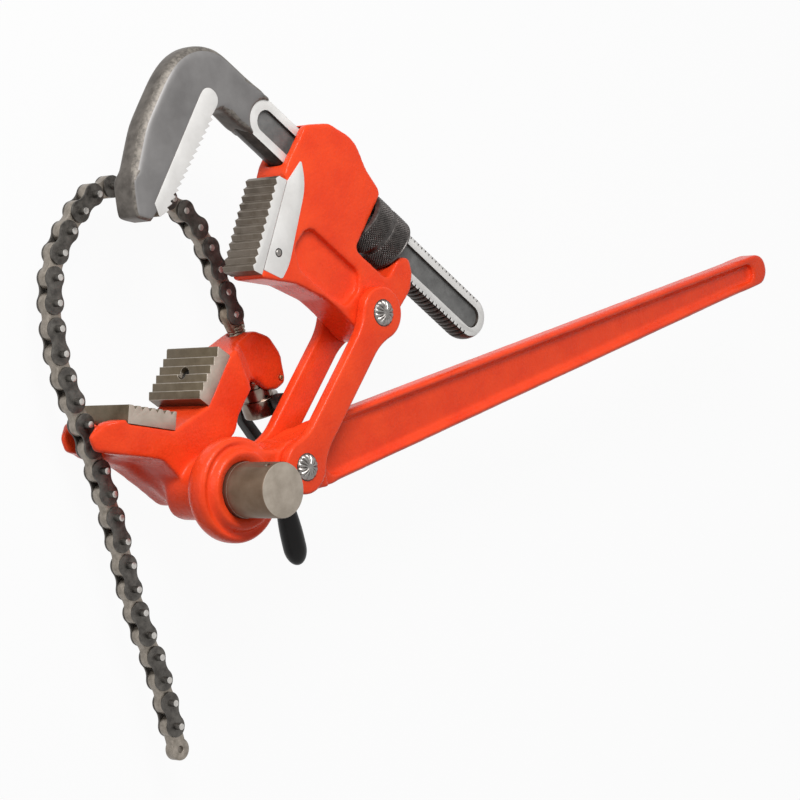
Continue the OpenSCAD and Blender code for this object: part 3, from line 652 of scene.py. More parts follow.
# links: two forged straps with round eyes
strap = {"length": (upperPin - lowerPin).length / mm, "eye": 28, "half": 16.5, "fillet": 60, "edge": 3.2,
         "eyeSteps": 26, "filletSteps": 13}
strapOutline = eyedOutline(strap["length"], strap["eye"], strap["half"], strap["fillet"],
                           strap["eyeSteps"], strap["filletSteps"])
along = (upperPin - lowerPin).normalized()
strapTurn = Matrix.Rotation(math.atan2(along.y, along.x), 4, "Z")
strapPlace = Matrix.Translation(Vector((lowerPin.x, lowerPin.y, 0))) @ strapTurn
for node in ("front_link", "rear_link"):
    low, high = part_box(node)
    name = node + "_strap"
    mesh = plateMesh(name, strapOutline, low.z / mm, high.z / mm, strap["edge"], strap["edge"], strapPlace)
    givePiece(addPiece(name, mesh), "links", [node], "orange_enamel")

# rivets: domed heads with radial serrations
rivet = {
    "radius": 13.5,
    "ring": 14.4,  # ring round the head, painted dark: the shade where the head meets the strap
    "ringHeight": 0.15,
    "heights": {1: 5.5, -1: 3},  # front and rear
    "rim": 0.12,  # share of the height at the dome's edge
    "least": 0.3,
    "teeth": 14,
    "deep": {1: 2.1, -1: 0.63},
    "bite": (0.2, 0.3),  # where the serrations start, and over what share they grow
    "fade": 0.3,
    "rings": (0.04, 0.16, 0.28, 0.4, 0.52, 0.64, 0.75, 0.85, 0.93, 0.98, 1.0),
    "steps": 112,
    "crease": 50,
}


def rivetMesh(name, spec, at, low, high):
    rings = []
    shares = [*spec["rings"], spec["ring"] / spec["radius"]]
    start, over = spec["bite"]
    for side, base in ((-1, low), (1, high)):
        for share in (shares if side < 0 else reversed(shares)):
            dome = math.sqrt(max(0, 1 - share * share))
            bite = max(0, min(1, (share - start) / over)) * spec["deep"][side]
            bite *= spec["fade"] + (1 - spec["fade"]) * dome
            full = spec["heights"][side] * (spec["rim"] + (1 - spec["rim"]) * dome)
            r = spec["radius"] * share * mm
            ring = []
            for a in turnsOf(spec["steps"]):
                valley = 1 - abs(math.cos(spec["teeth"] * a / 2))  # sharp between two round flutes
                h = max(spec["least"], full - bite * valley) if share <= 1 else spec["ringHeight"]
                ring.append(Vector((at.x + r * math.cos(a), at.y + r * math.sin(a), base + side * h * mm)))
            rings.append(ring)
    return ringMesh(name, rings, spec["crease"])


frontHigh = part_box("front_link")[1].z
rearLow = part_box("rear_link")[0].z
for node, at in (("lower_link_pin", lowerPin), ("upper_link_pin", upperPin)):
    name = node + "_rivet"
    piece = addPiece(name, rivetMesh(name, rivet, at, rearLow, frontHigh))
    # the ring beyond the head is painted dark: the shade where the head meets the strap
    paintFaces(piece, ("bright_rivet", "dark_thread_and_shade"), beyondRadius(at, rivet["radius"]))
    givePiece(piece, "links", [node])
print("links and rivets made")

# shaft, inserts and small machined pieces keep the frame's shapes, with broken edges
def shaftFinish(face):  # 1 on its front end
    return 1 if face.normal.z > upright else 0


def jawFinish(face):  # 0 on the toothed face, 1 on the sides, 2 on the worn edges, which carry a painted highlight too
    return 2 if face.material_index else 1 if abs(face.normal.z) > upright else 0


shaftSteels = ("shaft_brown", "shaft_end")
insertSteels = ("insert_olive", "insert_end", "crest_wear_and_highlight")
heelSteels = ("jaw_brown", "ground_steel", "crest_wear_and_highlight")
machined = {  # piece, body, slot, width of its broken edges, finishes and the choice between them
    "trunnion_shaft": ("shaft_turned", "trunnion", "shaft_steel", 0.6, shaftSteels, shaftFinish),
    "lower_jaw_insert": ("lower_insert_cut", "trunnion", "jaw_steel", 0.45, insertSteels, jawFinish),
    "upper_jaw_insert": ("upper_insert_cut", "trunnion", "jaw_steel", 0.45, insertSteels, jawFinish),
    "heel_jaw": ("heel_jaw_cut", "head", "jaw_steel", 0.35, heelSteels, jawFinish),
}
for node, (name, body, slot, edge, finishNames, pick) in machined.items():
    piece = machinedCopy(node, name, edge)
    paintFaces(piece, finishNames, pick)
    givePiece(piece, body, [node])
smallPieces = {  # piece, body, slot, finish and the width of its broken edges
    "jaw_insert_screws": ("insert_screws_cut", "trunnion", "black_steel", "black_oxide", 0.3),
    "chain_nut": ("chain_nut_turned", "nut", "plated_steel", "nut_polish", 0.4),
    "nut_handle": ("yoke_bar", "yoke", "black_steel", "black_oxide", 1.6),
    "nut_handle_pivots": ("yoke_studs", "nut", "black_steel", "black_oxide", 0.5),
    "nut_retaining_pin": ("retaining_pin_cut", "trunnion", "plated_steel", "pin_brass", 0.5),
    "flat_spring": ("leaf_spring", "head", "plated_steel", "spring_blue", 0.2),
}
proud = {"nut_retaining_pin": 1.0}  # how far its front end stands out of the horn's soft surface
for node, (name, body, slot, finish, edge) in smallPieces.items():
    piece = machinedCopy(node, name, edge, 3)
    if node in proud:
        middleZ = sum(corner.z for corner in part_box(node)) / 2
        for vertex in piece.data.vertices:
            if vertex.co.z > middleZ:
                vertex.co.z += proud[node] * mm
    givePiece(piece, body, [node], finish)
print("machined pieces made")

# hook jaw: forged hook, ground toothed strip and recessed shank; x runs along the shank
# from the tooth roots, and y across it from its middle line
hook = {
    "face": headPin.x - 289,  # line of the tooth roots
    "middle": headPin.y + 86.5,  # the shank's middle line
    "half": 24.5,
    "thick": 32,
    "shank": 24,
    "back": ((-24, 24.5, 48), (-56, 12, 50), (-72, -26, 76), (-68, -100, 70), (-50, -158, 30),
             (-26, -185, 5), (-8, -176)),
    "gum": -1.5,  # the forging ends a little behind the tooth roots
    "tip": -6,
    "throat": (3, -31, 9),  # its inner corner and that corner's round
    "shoulder": (16, 8),  # where the shank's underside starts, and the round there
    "proud": 0.2,  # of the shank that it covers
    "lead": 13,
    "leadRound": 10,
    "step": 3,  # between the outline's points, before they are softened
    "least": 0.05,
    "backPasses": 30,
    "throatPasses": 3,
    "backRound": 13,  # rounds of the forging's edges, and where one gives way to the next
    "tipRound": 5,
    "tipTo": -150,
    "throatRound": 3,
    "throatTo": 6,
    "underRound": 9,
    "underFrom": -2,
    "roundPasses": 4,
    "crease": 60,
    "finishFrom": (0.88, 0.45),  # a normal's z below which a face is worn and painted in half shade, and then painted in the sides' shade
    "tuck": 2.5,
    "end": 57,  # the forging ends round the shank's bright ring
    "ring": 22,
    "ringAt": 65,
    "ringArc": (249, 111),
    "ringSteps": 12,
    "corner": (0.985, 0.96),
    "cornerFrom": 20.8,
    "fade": 14,
    "cornerFade": 12,
    "lean": 0.12,
    "runOut": 20,
    "teeth": 15,
    "toothDepth": 3.5,
    "toothEnd": 0.4,
    "toothSpan": (-162, -43.5),
    "strip": (23.4, 15.5),  # width at its top end and at its foot
    "stripTop": 25,
    "stripProud": 0.3,
    "stripEdge": 0.35,
    "stripFlat": 0.8,  # how far its ground sides point along z
    "cut": 24,  # where the shank's own piece starts, inside the forging
    "shankEdge": 0.5,
    "shankBreaks": {"angle": 35, "smooth": 40, "miter": "MITER_SHARP"},
}
hookPlace = headPlace @ Matrix.Translation(Vector((hook["face"] * mm, hook["middle"] * mm, 0)))


def hookOutline(spec):
    half, end, low, high = spec["half"], spec["end"], *spec["toothSpan"]
    inner = half - spec["tuck"]  # at its end the forging dips into the shank's round edges
    wide, lead, gum = half + spec["proud"], end - spec["lead"], spec["gum"]
    back = roundedOutline([(end, inner), (lead, wide, spec["leadRound"]), *spec["back"]], 10)
    outline = softLine(back, spec["step"], spec["backPasses"])
    outline.append(Vector((spec["tip"], low)))
    outline += [Vector((gum, y)) for y in (low + 4, (low + high) / 2, high - 6)]
    underX, underRound = spec["shoulder"]
    throat = [(gum, high - 5), spec["throat"], (underX, -wide, underRound), (lead, -wide), (end, -inner)]
    outline += softLine(roundedOutline(throat)[1:], spec["step"], spec["throatPasses"])
    return [p for i, p in enumerate(outline) if (p - outline[i - 1]).length > spec["least"]]


def hookRounds(spec, outline):
    rounds = []
    for p in outline:
        if p.x > spec["underFrom"] and p.y < 0:
            rounds.append(spec["throatRound"] if p.x < spec["throatTo"] else spec["underRound"])
        else:
            rounds.append(spec["tipRound"] if p.y < spec["tipTo"] else spec["backRound"])
    count = len(rounds)
    for _ in range(spec["roundPasses"]):
        rounds = [(rounds[i - 1] + rounds[i] + rounds[(i + 1) % count]) / 3 for i in range(count)]
    return rounds


def hookForging(spec):
    half, end, top, cover = spec["half"], spec["end"], spec["thick"] / 2, spec["proud"]
    inner = half - spec["tuck"]
    outline = hookOutline(spec)
    rounds = hookRounds(spec, outline)
    drops = list(rounds)
    drops[0] = drops[-1] = top - math.sqrt(half ** 2 - inner ** 2) + cover
    shift = {}
    for i, p in enumerate(outline):  # the edges' rounds run out towards the shank
        if p.x > spec["runOut"]:
            share = (p.x - spec["runOut"]) / (end - spec["runOut"])
            start, side = (spec["backRound"], -1) if p.y > 0 else (spec["underRound"], 1)
            across = start * (1 - share) + spec["lean"] * inner * share
            shift[i] = Vector((-spec["cornerFade"] * share ** 2, side * across))
    first, last = spec["ringArc"]
    steps = spec["ringSteps"]
    turns = [math.radians(first - (first - last) * k / steps) for k in range(steps + 1)]
    ends = [Vector((spec["ringAt"] + spec["ring"] * math.cos(a), spec["ring"] * math.sin(a))) for a in turns]
    corner = [Vector((end, inner * share)) for share in spec["corner"]]
    mirrored = [Vector((q.x, -q.y)) for q in corner]
    for p in mirrored + ends + corner[::-1]:  # hollow end round the shank's ring
        level = min(spec["shank"] / 2, math.sqrt(half ** 2 - p.y ** 2)) - cover
        fade = spec["cornerFade"] if abs(p.y) > spec["cornerFrom"] else spec["fade"]
        shift[len(outline)] = Vector((-fade, -spec["lean"] * p.y))
        outline.append(p)
        rounds.append(0)
        drops.append(top - level)
    return plateMesh("hook_forging", outline, -top, top, rounds, drops, hookPlace, quarterRound(8),
                     spec["crease"], shift)


def hookStrip(spec):
    low, high = spec["toothSpan"]
    wide, foot = spec["strip"]
    half, edge, end = spec["thick"] / 2 + spec["stripProud"], spec["stripEdge"], high + spec["stripTop"]
    points = [(-wide, high + 10), (-foot, low + 2), (-3, low - 6, 2)]
    step = (high - low) / spec["teeth"]
    for k in range(spec["teeth"]):
        points += [(0, low + k * step), (spec["toothDepth"], low + (k + 1) * step - spec["toothEnd"])]
    points += [(-0.5, high), (0.5, high + 6, 3), (0.5, end, 11), (-wide, end, 11)]
    outline = roundedOutline(points)
    return plateMesh("hook_strip", outline, -half, half, edge, edge, hookPlace, quarterRound(2))


def shankPiece(spec):
    mesh = mergedCopy("hook_jaw", "hook_shank")

    def cutOff(bm):  # the hook's own part of the solid
        start = headPlace @ Vector(((spec["face"] + spec["cut"]) * mm, spec["middle"] * mm, 0))
        cut = bmesh.ops.bisect_plane(bm, geom=bm.verts[:] + bm.edges[:] + bm.faces[:], plane_co=start,
                                     plane_no=-shankDir, clear_outer=True)
        loose = [e for e in cut["geom_cut"] if isinstance(e, bmesh.types.BMEdge)]
        bmesh.ops.holes_fill(bm, edges=loose)

    editMesh(mesh, cutOff, mergeFlats)
    return brokenEdges("hook_shank", mesh, spec["shankEdge"], 1, spec["shankBreaks"])


rimZ = (hook["shank"] / 2 - 0.2) * mm  # the recess lies below this


def shankFinish(face):  # 0 on the threaded sides, and on the broken edges and the recess's walls, where that dark is painted shade; 1 on the bright rim, 2 in the recess
    if face.material_index or abs(face.normal.z) < upright:
        return 0
    return 1 if abs(face.center.z - handleZ) > rimZ else 2


forging = addPiece("hook_forging", hookForging(hook))
# face, then the worn finish with painted half shade on the rounding, then painted shade on the sides, chosen
# by how far each face turns from z
paintFaces(forging, ("forged_face", "forged_wear_half_shade", "forged_side_shade"),
           lambda face: sum(abs(face.normal.z) < limit for limit in hook["finishFrom"]))
givePiece(forging, "hook", ["hook_jaw"])
strip = addPiece("hook_teeth_strip", hookStrip(hook))
paintFaces(strip, ("jaw_brown", "ground_steel"),
           lambda face: 1 if abs(face.normal.z) > hook["stripFlat"] else 0)
givePiece(strip, "hook", ["hook_jaw"])
shank = shankPiece(hook)
paintFaces(shank, ("dark_thread_and_shade", "ground_steel", "recess_grey"), shankFinish)
givePiece(shank, "hook", ["hook_jaw"])

# ground leaf on each side of the head, beside the heel jaw
leaf = {
    "points": ((-175.3, 46), (-171, 76, 2), (-152, 57, 60), (-128, -26, 60), (-128.5, -44, 4),
               (-154.5, -50.5, 1)),
    "stand": 0.35,
    "root": 1,
    "edge": 0.3,
}
leafOutline = [p + headPin for p in roundedOutline(leaf["points"], 8)]
headHalf = (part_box("heel_jaw")[1].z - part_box("heel_jaw")[0].z) / 2 / mm
for side, name in ((1, "front_ground_leaf"), (-1, "rear_ground_leaf")):
    low, high = sorted((side * (headHalf - leaf["root"]), side * (headHalf + leaf["stand"])))
    mesh = plateMesh(name, leafOutline, low, high, leaf["edge"], leaf["edge"], headPlace, quarterRound(2))
    givePiece(addPiece(name, mesh), "head", (), "ground_steel")

# heel pin: its two ends stand out through the leaves, domed, each in a ring painted dark as the shade round
# it
heelPin = {
    "at": (-147, -24),
    "radius": 3.5,
    "dome": 1.3,
    "domeRows": ((0, 1), (0.5, 0.88), (0.85, 0.5)),  # shares of its radius and height
    "foot": 0.12,
    "ring": 4.7,
    "ringStands": 0.08,
    "ringDeep": 0.8,
    "body": 0.9,
    "steps": 32,
}
heelPinAt = headPin + Vector(heelPin["at"])
heelPinPlace = headPlace @ Matrix.Translation(Vector((heelPinAt.x * mm, heelPinAt.y * mm, 0)))


def heelPinMesh(spec):
    half, radius, ring, under = headHalf + leaf["stand"], spec["radius"], spec["ring"], spec["ringDeep"]
    end = [(radius * share, half + spec["dome"] * rise) for share, rise in spec["domeRows"]]
    end += [(radius, half + spec["foot"]), (ring, half + spec["ringStands"]), (ring, half - under),
            (radius * spec["body"], half - under)]
    return latheMesh("heel_pin_ends", end + [(r, -h) for r, h in reversed(end)], spec["steps"], heelPinPlace)


pinPiece = addPiece("heel_pin_ends", heelPinMesh(heelPin))
# the ring round each end is painted black: the shade of the recess round the pin
paintFaces(pinPiece, ("bright_rivet", "black_oxide"),
           beyondRadius(heelPinPlace.translation, heelPin["radius"]))
givePiece(pinPiece, "head", ["heel_jaw_pin"])
print("hook jaw made")

# adjusting nut: a turned drum, with its diamond knurl from Geometry Nodes
knurl = {
    "around": 58,
    "rows": 7,  # in each of the two bands
    "length": 55,
    "radius": 31.5,
    "deep": 1.3,
    "groove": 5,  # between the bands
    "grooveDeep": 1.2,
    "chamfer": 2.4,
    "chamferBend": 0.6,
    "rim": 0.5,
    "lip": 0.8,
    "bore": 24.9,
    "steps": 92,
}


def knurlTree():
    tree, names, given = startTree("diamondKnurl", {
        "Around": "Int", "Rows": "Int", "Radius": "Float", "Width": "Float", "Deep": "Float",
        "Start": "Float", "Finish": "Material"})
    link = tree.links.new
    sums, vector = partial(addSum, tree), partial(addVector, tree)
    halfTurn = sums("DIVIDE", math.pi, given["Around"])  # half of one diamond's angle
    halfRow = sums("DIVIDE", sums("DIVIDE", given["Width"], given["Rows"]), 2)
    middle = sums("ADD", given["Start"], sums("DIVIDE", given["Width"], 2))
    diamond = addNode(tree, "GeometryNodeMeshCone", {
        "Vertices": 4, "Radius Top": 0, "Radius Bottom": 1, "Depth": 1})
    size = vector({"X": halfRow, "Y": sums("MULTIPLY", halfTurn, given["Radius"]), "Z": given["Deep"]})
    join = addNode(tree, "GeometryNodeJoinGeometry")
    for shift in (0, 1):  # the second set of rows lies between the first
        rows = sums("SUBTRACT", given["Rows"], shift)
        steps = sums("MULTIPLY", 2, sums("SUBTRACT", given["Around"], 1))
        rowSteps = sums("MULTIPLY", 2, sums("SUBTRACT", rows, 1))
        grid = addNode(tree, "GeometryNodeMeshGrid", {
            "Size X": sums("MULTIPLY", halfTurn, steps), "Size Y": sums("MULTIPLY", halfRow, rowSteps),
            "Vertices X": given["Around"], "Vertices Y": rows})
        spot = addPosition(tree)
        angle = sums("ADD", spot["X"], sums("MULTIPLY", halfTurn, shift))
        place = vector({
            "X": sums("MULTIPLY", given["Radius"], sums("COSINE", angle)),
            "Y": sums("MULTIPLY", given["Radius"], sums("SINE", angle)),
            "Z": sums("ADD", spot["Y"], middle)})
        held = addNode(tree, "GeometryNodeCaptureAttribute", {"Geometry": grid.outputs["Mesh"]})
        held.capture_items.new("VECTOR", "turn")
        link(vector({"Y": math.pi / 2, "Z": angle}), held.inputs["turn"])
        bend = addNode(tree, "GeometryNodeSetPosition", {
            "Geometry": held.outputs["Geometry"], "Position": place})
        put = addNode(tree, "GeometryNodeInstanceOnPoints", {
            "Points": bend.outputs["Geometry"], "Instance": diamond.outputs["Mesh"],
            "Rotation": held.outputs["turn"], "Scale": size})
        link(put.outputs["Instances"], join.inputs["Geometry"])
    made = realAndPainted(tree, join.outputs["Geometry"], given["Finish"])
    addNode(tree, "NodeGroupOutput", {"Geometry": made})
    return tree, names


def adjustingNut(spec):
    tree, names = knurlTree()
    full, chamfer, lip, bore = (spec[k] for k in ("radius", "chamfer", "lip", "bore"))
    root, rim, length = full - spec["deep"], full - spec["rim"], spec["length"]
    bandFrom, bandTo = chamfer + lip, length / 2 - spec["groove"] / 2
    bands = [grownMesh(tree, names, {
        "Around": spec["around"], "Rows": spec["rows"], "Radius": root * mm,
        "Width": (bandTo - bandFrom) * mm, "Deep": spec["deep"] * mm, "Start": start * mm,
        "Finish": paint["nut_oxide"]})
        for start in (bandFrom, length - bandTo)]
    half = [(bore, 0), (full - chamfer, 0), (rim, chamfer * spec["chamferBend"]), (rim, chamfer),
            (root, bandFrom), (root, bandTo), (root - spec["grooveDeep"], bandTo + lip)]
    profile = half + [(r, length - h) for r, h in reversed(half)]
    drum = latheMesh("drum", profile, spec["steps"], closed=True)
    mesh = joinMeshes("knurled_nut", bands + [drum])
    start = jointAt("adjusting_nut_turn")
    low = min((v.co - start).dot(shankDir) for v in nodes["adjusting_nut"].data.vertices)
    mesh.transform(placeAt(start + shankDir * low, zUp, shankSide, shankDir))
    mesh.flip_normals()  # those three directions are left-handed
    return addPiece("knurled_nut", mesh)


givePiece(adjustingNut(knurl), "adjuster", ["adjusting_nut"], "nut_oxide")
print("adjusting nut knurled")

# chain: plates, pins and blocks put together by Geometry Nodes, one mesh for each link's body
chain = {
    "pitch": 25.4,
    "plate": 11.5,
    "waist": 8.3,
    "eyeSteps": 12,
    "waistSteps": 4,
    "thick": 2.4,
    "block": 10.6,
    "gap": 0.3,
    "edge": 0.45,
    "pin": 3.6,
    "pinSteps": 28,
    "long": (16.5, 0.9),  # half the pin's length, and its corner
    "flush": (8.9, 0.7),
    "flushLinks": 6,
}


def plateOutline(spec):
    half, waist, eye = spec["pitch"] / 2, spec["waist"], spec["plate"]
    hollow = (half * half + waist * waist - eye * eye) / (2 * (eye - waist))  # radius of the waist
    return eyedOutline(spec["pitch"], eye, waist, hollow, spec["eyeSteps"], spec["waistSteps"])


def barrelMesh(name, radius, half, corner, steps):
    near = corner * 0.3  # about where a round corner is
    end = [(0, half), (radius - corner, half), (radius - near, half - near), (radius, half - corner)]
    return latheMesh(name, [(r, -h) for r, h in end] + end[::-1], steps)


def chainTree():
    tree, names, given = startTree("chainLink", {
        "Plate": "Object", "Pin": "Object", "Pitch": "Float", "Plates": "Int", "Pins": "Int",
        "First plate": "Float", "Plate step": "Float", "Plate finish": "Material", "Pin finish": "Material"})
    join = addNode(tree, "GeometryNodeJoinGeometry")
    for source, start, step in (("Plate", {"Z": given["First plate"]}, {"Z": given["Plate step"]}),
                                ("Pin", {}, {"X": given["Pitch"]})):
        line = addNode(tree, "GeometryNodeMeshLine", {
            "Count": given[source + "s"], "Start Location": addVector(tree, start),
            "Offset": addVector(tree, step)})
        info = addNode(tree, "GeometryNodeObjectInfo", {"As Instance": True, "Object": given[source]})
        put = addNode(tree, "GeometryNodeInstanceOnPoints", {
            "Points": line.outputs["Mesh"], "Instance": info.outputs["Geometry"]})
        made = realAndPainted(tree, put.outputs["Instances"], given[source + " finish"])
        tree.links.new(made, join.inputs["Geometry"])
    addNode(tree, "NodeGroupOutput", {"Geometry": join.outputs["Geometry"]})
    return tree, names


# one mesh for each kind of link: outer ones with long or flush pins, and the solid inner ones
def linkKinds(spec):
    tree, names = chainTree()
    outline, edge, half = plateOutline(spec), spec["edge"], spec["block"] / 2
    outerFace = half + spec["gap"]
    sources = {}
    for key, thick in (("plate", spec["thick"]), ("block", spec["block"])):
        sources[key] = plateMesh(key + "Source", outline, 0, thick, edge, edge, edge=quarterRound(2))
    for key in ("long", "flush"):
        sources[key] = barrelMesh(key + "PinSource", spec["pin"], *spec[key], spec["pinSteps"])
    sources = {key: addPiece(key + "Source", mesh) for key, mesh in sources.items()}
    made = {}
    for kind in ("long", "flush", "block"):
        inner = kind == "block"
        mesh = made[kind] = grownMesh(tree, names, {
            "Plate": sources["block" if inner else "plate"], "Pin": sources["long" if inner else kind],
            "Pitch": spec["pitch"] * mm, "Plates": 1 if inner else 2, "Pins": 0 if inner else 2,
            "First plate": -(half if inner else outerFace + spec["thick"]) * mm,
            "Plate step": (2 * outerFace + spec["thick"]) * mm,
            "Plate finish": paint["chain_block" if inner else "chain_plate"],
            "Pin finish": paint["chain_pin"]})
        smoothBelow(mesh, creaseAngle)
        slots = [m.name if m else "" for m in mesh.materials]
        bright = [slots[f.material_index] == "chain_pin" and abs(f.normal.z) > 0.5 for f in mesh.polygons]
        mesh.materials.clear()  # pins are bright only on their ends
        for finish in ("chain_block",) if inner else ("chain_plate", "chain_pin"):
            mesh.materials.append(paint[finish])
        mesh.polygons.foreach_set("material_index", [int(b) for b in bright])
    for source in sources.values():
        bpy.data.objects.remove(source)
    return made


def makeChain(spec):
    kinds = linkKinds(spec)
    count = sum(name.startswith("chain_pin_") for name in joints)
    for i in range(1, count + 1):
        number = "%02d" % i
        inner = i % 2 == 0
        node = ("chain_inner_link_" if inner else "chain_outer_link_") + number
        kind = "block" if inner else "flush" if i <= spec["flushLinks"] else "long"
        body = "link_" + number
        name = body + "_" + kind
        if i == count:  # the last link shows its open hole
            piece = machinedCopy(node, name, spec["edge"])
            givePiece(piece, body, [node], "chain_block")
            continue
        here = jointAt("chain_pin_" + number)
        low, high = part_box(node)
        far = (low + high) / 2 - here  # from the link's first pin to its middle
        mesh = kinds[kind].copy()
        mesh.transform(Matrix.Translation(here) @ Matrix.Rotation(math.atan2(far.y, far.x), 4, "Z"))
        givePiece(addPiece(name, mesh), body, [node])
    print("chain links:", count)


makeChain(chain)

# chain screw: its thread is a rule in Geometry Nodes, its eye a flat plate
screw = {
    "radius": 9.5,
    "length": 114,
    "pitch": 3,
    "deep": 1.3,
    "sides": 40,
    "ringsPerTurn": 6,
    "crease": 50,
    "eyeFrom": 13,
    "eye": 11.5,
    "eyeHalf": 5.3,
    "eyeSteps": 24,
    "eyeRoot": 5,  # the plate runs on into the rod
    "eyeInset": 1,
    "eyeEdge": 0.6,
}
firstPin = jointAt("chain_pin_01")
screwDir = jointDir("chain_screw_slide")
screwSide = zUp.cross(screwDir)


def threadTree(sides):
    tree, names, given = startTree("screwThread", {
        "Radius": "Float", "Length": "Float", "Pitch": "Float", "Deep": "Float", "Rings": "Int",
        "Finish": "Material"})
    sums = partial(addSum, tree)
    rod = addNode(tree, "GeometryNodeMeshCylinder", {
        "Vertices": sides, "Side Segments": given["Rings"], "Radius": given["Radius"],
        "Depth": given["Length"]})
    spot = addPosition(tree)
    angle = sums("DIVIDE", sums("ARCTAN2", spot["Y"], spot["X"]), 2 * math.pi)
    phase = sums("FRACT", sums("SUBTRACT", sums("DIVIDE", spot["Z"], given["Pitch"]), angle))
    flank = sums("ABSOLUTE", sums("SUBTRACT", sums("MULTIPLY", phase, 2), 1))  # 1 in the root, 0 on the crest
    radius = sums("SUBTRACT", given["Radius"], sums("MULTIPLY", given["Deep"], flank))
    share = sums("DIVIDE", radius, given["Radius"])
    place = addVector(tree, {
        "X": sums("MULTIPLY", spot["X"], share), "Y": sums("MULTIPLY", spot["Y"], share), "Z": spot["Z"]})
    bend = addNode(tree, "GeometryNodeSetPosition", {"Geometry": rod.outputs["Mesh"], "Position": place})
    made = realAndPainted(tree, bend.outputs["Geometry"], given["Finish"])
    addNode(tree, "NodeGroupOutput", {"Geometry": made})
    return tree, names


def chainScrew(spec):
    tree, names = threadTree(spec["sides"])
    start, span = spec["eyeFrom"], spec["length"] - spec["eyeFrom"]
    rod = grownMesh(tree, names, {
        "Radius": spec["radius"] * mm, "Length": span * mm, "Pitch": spec["pitch"] * mm,
        "Deep": spec["deep"] * mm, "Rings": int(span / spec["pitch"] * spec["ringsPerTurn"]),
        "Finish": paint["screw_steel"]})
    rodPlace = placeAt(firstPin, screwSide, zUp, screwDir)
    rod.transform(rodPlace @ Matrix.Translation(Vector((0, 0, (start + span / 2) * mm))))
    smoothBelow(rod, spec["crease"])
    turns = turnsOf(2 * spec["eyeSteps"], spec["eyeSteps"] + 1)
    eye = [Vector((spec["eye"] * math.cos(a), spec["eye"] * math.sin(a))) for a in turns]
    root, side = -start - spec["eyeRoot"], spec["radius"] - spec["eyeInset"]
    eye += [Vector((-side, root)), Vector((side, root))]
    eyePlace = placeAt(firstPin, screwSide, -screwDir, zUp)
    half, edge = spec["eyeHalf"], spec["eyeEdge"]
    flat = plateMesh("eye", eye, -half, half, edge, edge, eyePlace)
    return addPiece("chain_screw_thread", joinMeshes("chain_screw_thread", [rod, flat]))


givePiece(chainScrew(screw), "screw", ["chain_screw"], "screw_steel")

# dipped grip on the nut's folding yoke
grip = {
    "from": 73,
    "to": 182,
    "radius": 12.6,
    "neck": 6.8,
    "lip": ((-1.6, 0.6), (-1.6, 0), (-0.3, 0.8), (0, 2.4)),  # out from the neck, and down from its top
    "swell": 76,
    "swellSteps": 10,
    "nose": 20,
    "noseSteps": 11,
    "steps": 56,
}
foldAt = jointAt("nut_handle_fold")
gripLow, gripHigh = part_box("nut_handle_grip")
hang = ((gripLow + gripHigh) / 2 - foldAt).normalized()
gripPlace = placeAt(foldAt, zUp.cross(hang), zUp, hang)


def gripProfile(spec):
    top, end, r, neck = spec["from"], spec["to"], spec["radius"], spec["neck"]
    rows = [(neck + out, top + down) for out, down in spec["lip"]]
    start = rows[-1][1]
    for k in range(1, spec["swellSteps"] + 1):  # swells from the neck to the full width
        share = k / spec["swellSteps"]
        rows.append((neck + (r - neck) * eased(share, (0, 1)), start + spec["swell"] * share))
    for k in range(spec["noseSteps"]):  # long round nose
        a = k / spec["noseSteps"] * math.pi / 2
        rows.append((r * math.cos(a), end - spec["nose"] * (1 - math.sin(a))))
    return [(0, rows[0][1])] + rows + [(0, end)]


gripPiece = addPiece("dipped_grip", latheMesh("dipped_grip", gripProfile(grip), grip["steps"], gripPlace))
givePiece(gripPiece, "yoke", ["nut_handle_grip"], "dipped_vinyl")

# coil spring in the head, under the shank
coil = {"radius": 5.2, "wire": 0.8, "turns": 6, "span": 18.4, "steps": 18, "sides": 8, "crease": 60}


def coilMesh(spec):
    low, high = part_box("coil_spring")
    middle = (low + high) / 2
    rings = []
    steps = spec["turns"] * spec["steps"]
    for k in range(steps + 1):
        a = 2 * math.pi * spec["turns"] * k / steps
        out = shankDir * math.cos(a) + zUp * math.sin(a)
        centre = middle + out * spec["radius"] * mm + shankSide * (k / steps - 0.5) * spec["span"] * mm
        rings.append([centre + (out * math.cos(b) + shankSide * math.sin(b)) * spec["wire"] * mm
                      for b in turnsOf(spec["sides"])])
    return ringMesh("coil_wire", rings, spec["crease"])


givePiece(addPiece("coil_wire", coilMesh(coil)), "head", ["coil_spring"], "plated_steel")
print("screw, grip and springs made")

# studio: pale floor that keeps the shadow, white all round, soft lamps
studio = {
    "floor": (0.5, 0.5, 0.5),
    "floorSize": 6,
    "floorAt": (0.35, 0),
    "floorBelow": 0.0005,
    "glow": 0.95,  # share of white in what the camera sees of the floor
    "world": 0.34,
    "aim": (0.33, 0.02, 0.1),
    "lamps": {  # direction in the camera's view, distance, size and power
        "keyLamp": ((0.1, 0.75, 0.9), 2.2, 1.0, 44),
        "fillLamp": ((-0.8, 0.3, 0.7), 2.4, 1.6, 16),
        "rimLamp": ((-0.2, 0.95, -0.2), 2.0, 1.2, 7),
    },
}
white = (1, 1, 1, 1)


def whiteForLooks(tree):  # 1 for what the camera sees directly, mirrored or through glass
    path = addNode(tree, "ShaderNodeLightPath", at=(-700, 200)).outputs
    first = addNode(tree, "ShaderNodeMath", {0: path["Is Camera Ray"], 1: path["Is Glossy Ray"]},
                    (-500, 200), operation="MAXIMUM")
    second = addNode(tree, "ShaderNodeMath", {0: first.outputs[0], 1: path["Is Transmission Ray"]},
                     (-300, 200), operation="MAXIMUM")
    return second.outputs[0]


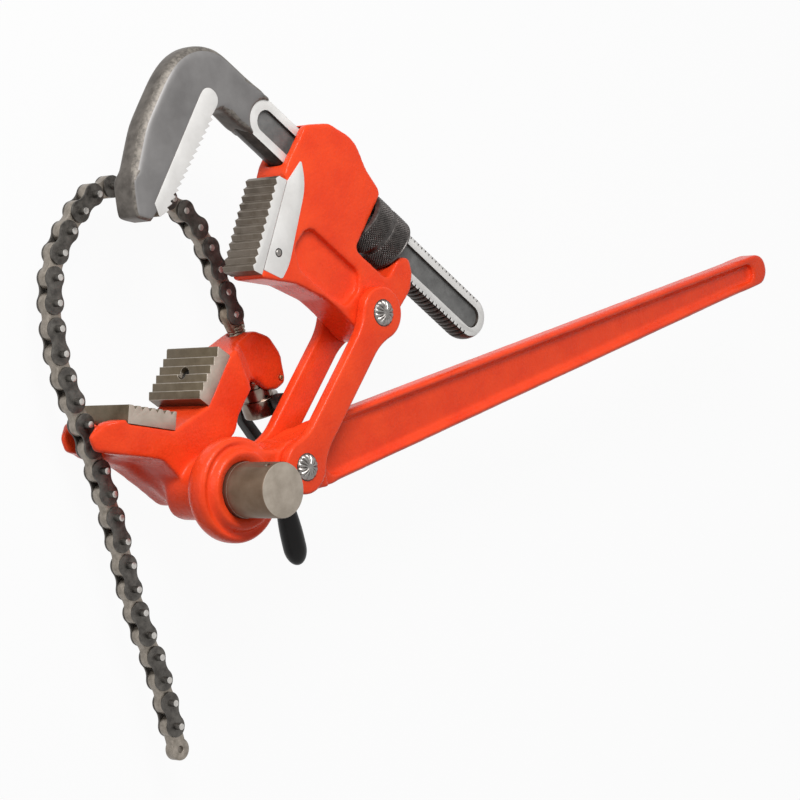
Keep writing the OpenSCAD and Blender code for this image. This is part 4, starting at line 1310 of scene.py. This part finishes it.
def makeWorld(spec):
    world = bpy.data.worlds.new("studioWorld")
    scene.world = world
    world.use_nodes = True
    tree = world.node_tree
    back = tree.nodes["Background"]
    back.inputs["Color"].default_value = white
    strength = addNode(tree, "ShaderNodeMapRange", {
        "Value": whiteForLooks(tree), "To Min": spec["world"], "To Max": 1}, (-100, 200))
    tree.links.new(strength.outputs["Result"], back.inputs["Strength"])


def makeFloor(spec):
    material = bpy.data.materials.new("studioFloor")
    material.use_nodes = True
    tree = material.node_tree
    matte = addNode(tree, "ShaderNodeBsdfDiffuse", {"Color": (*spec["floor"], 1)}, (-100, 0))
    glow = addNode(tree, "ShaderNodeEmission", {"Color": white}, (-100, -200))
    share = addNode(tree, "ShaderNodeMath", {0: whiteForLooks(tree), 1: spec["glow"]}, (-100, 200),
                    operation="MULTIPLY")
    mix = addNode(tree, "ShaderNodeMixShader", {
        "Fac": share.outputs[0], 1: matte.outputs[0], 2: glow.outputs[0]}, (150, 0))
    tree.links.new(mix.outputs[0], tree.nodes["Material Output"].inputs["Surface"])
    tree.nodes.remove(tree.nodes["Principled BSDF"])
    bm = bmesh.new()
    bmesh.ops.create_grid(bm, x_segments=1, y_segments=1, size=spec["floorSize"])
    bmesh.ops.translate(bm, verts=bm.verts, vec=(*spec["floorAt"], cadBox[0].z - spec["floorBelow"]))
    mesh = bpy.data.meshes.new("studioFloor")
    bm.to_mesh(mesh)
    bm.free()
    mesh.materials.append(material)
    addPiece("studioFloor", mesh)


def makeLamps(spec):
    view = camera.matrix_world.to_3x3()
    for name, (toward, distance, size, watts) in spec["lamps"].items():
        data = bpy.data.lights.new(name, "AREA")
        data.shape = "DISK"
        data.size = size
        data.energy = watts
        lamp = bpy.data.objects.new(name, data)
        out = (view @ Vector(toward)).normalized()
        turn = out.to_track_quat("Z", "Y").to_matrix().to_4x4()
        lamp.matrix_world = Matrix.Translation(Vector(spec["aim"]) + out * distance) @ turn
        scene.collection.objects.link(lamp)


makeWorld(studio)
makeFloor(studio)
makeLamps(studio)
print("studio lit")
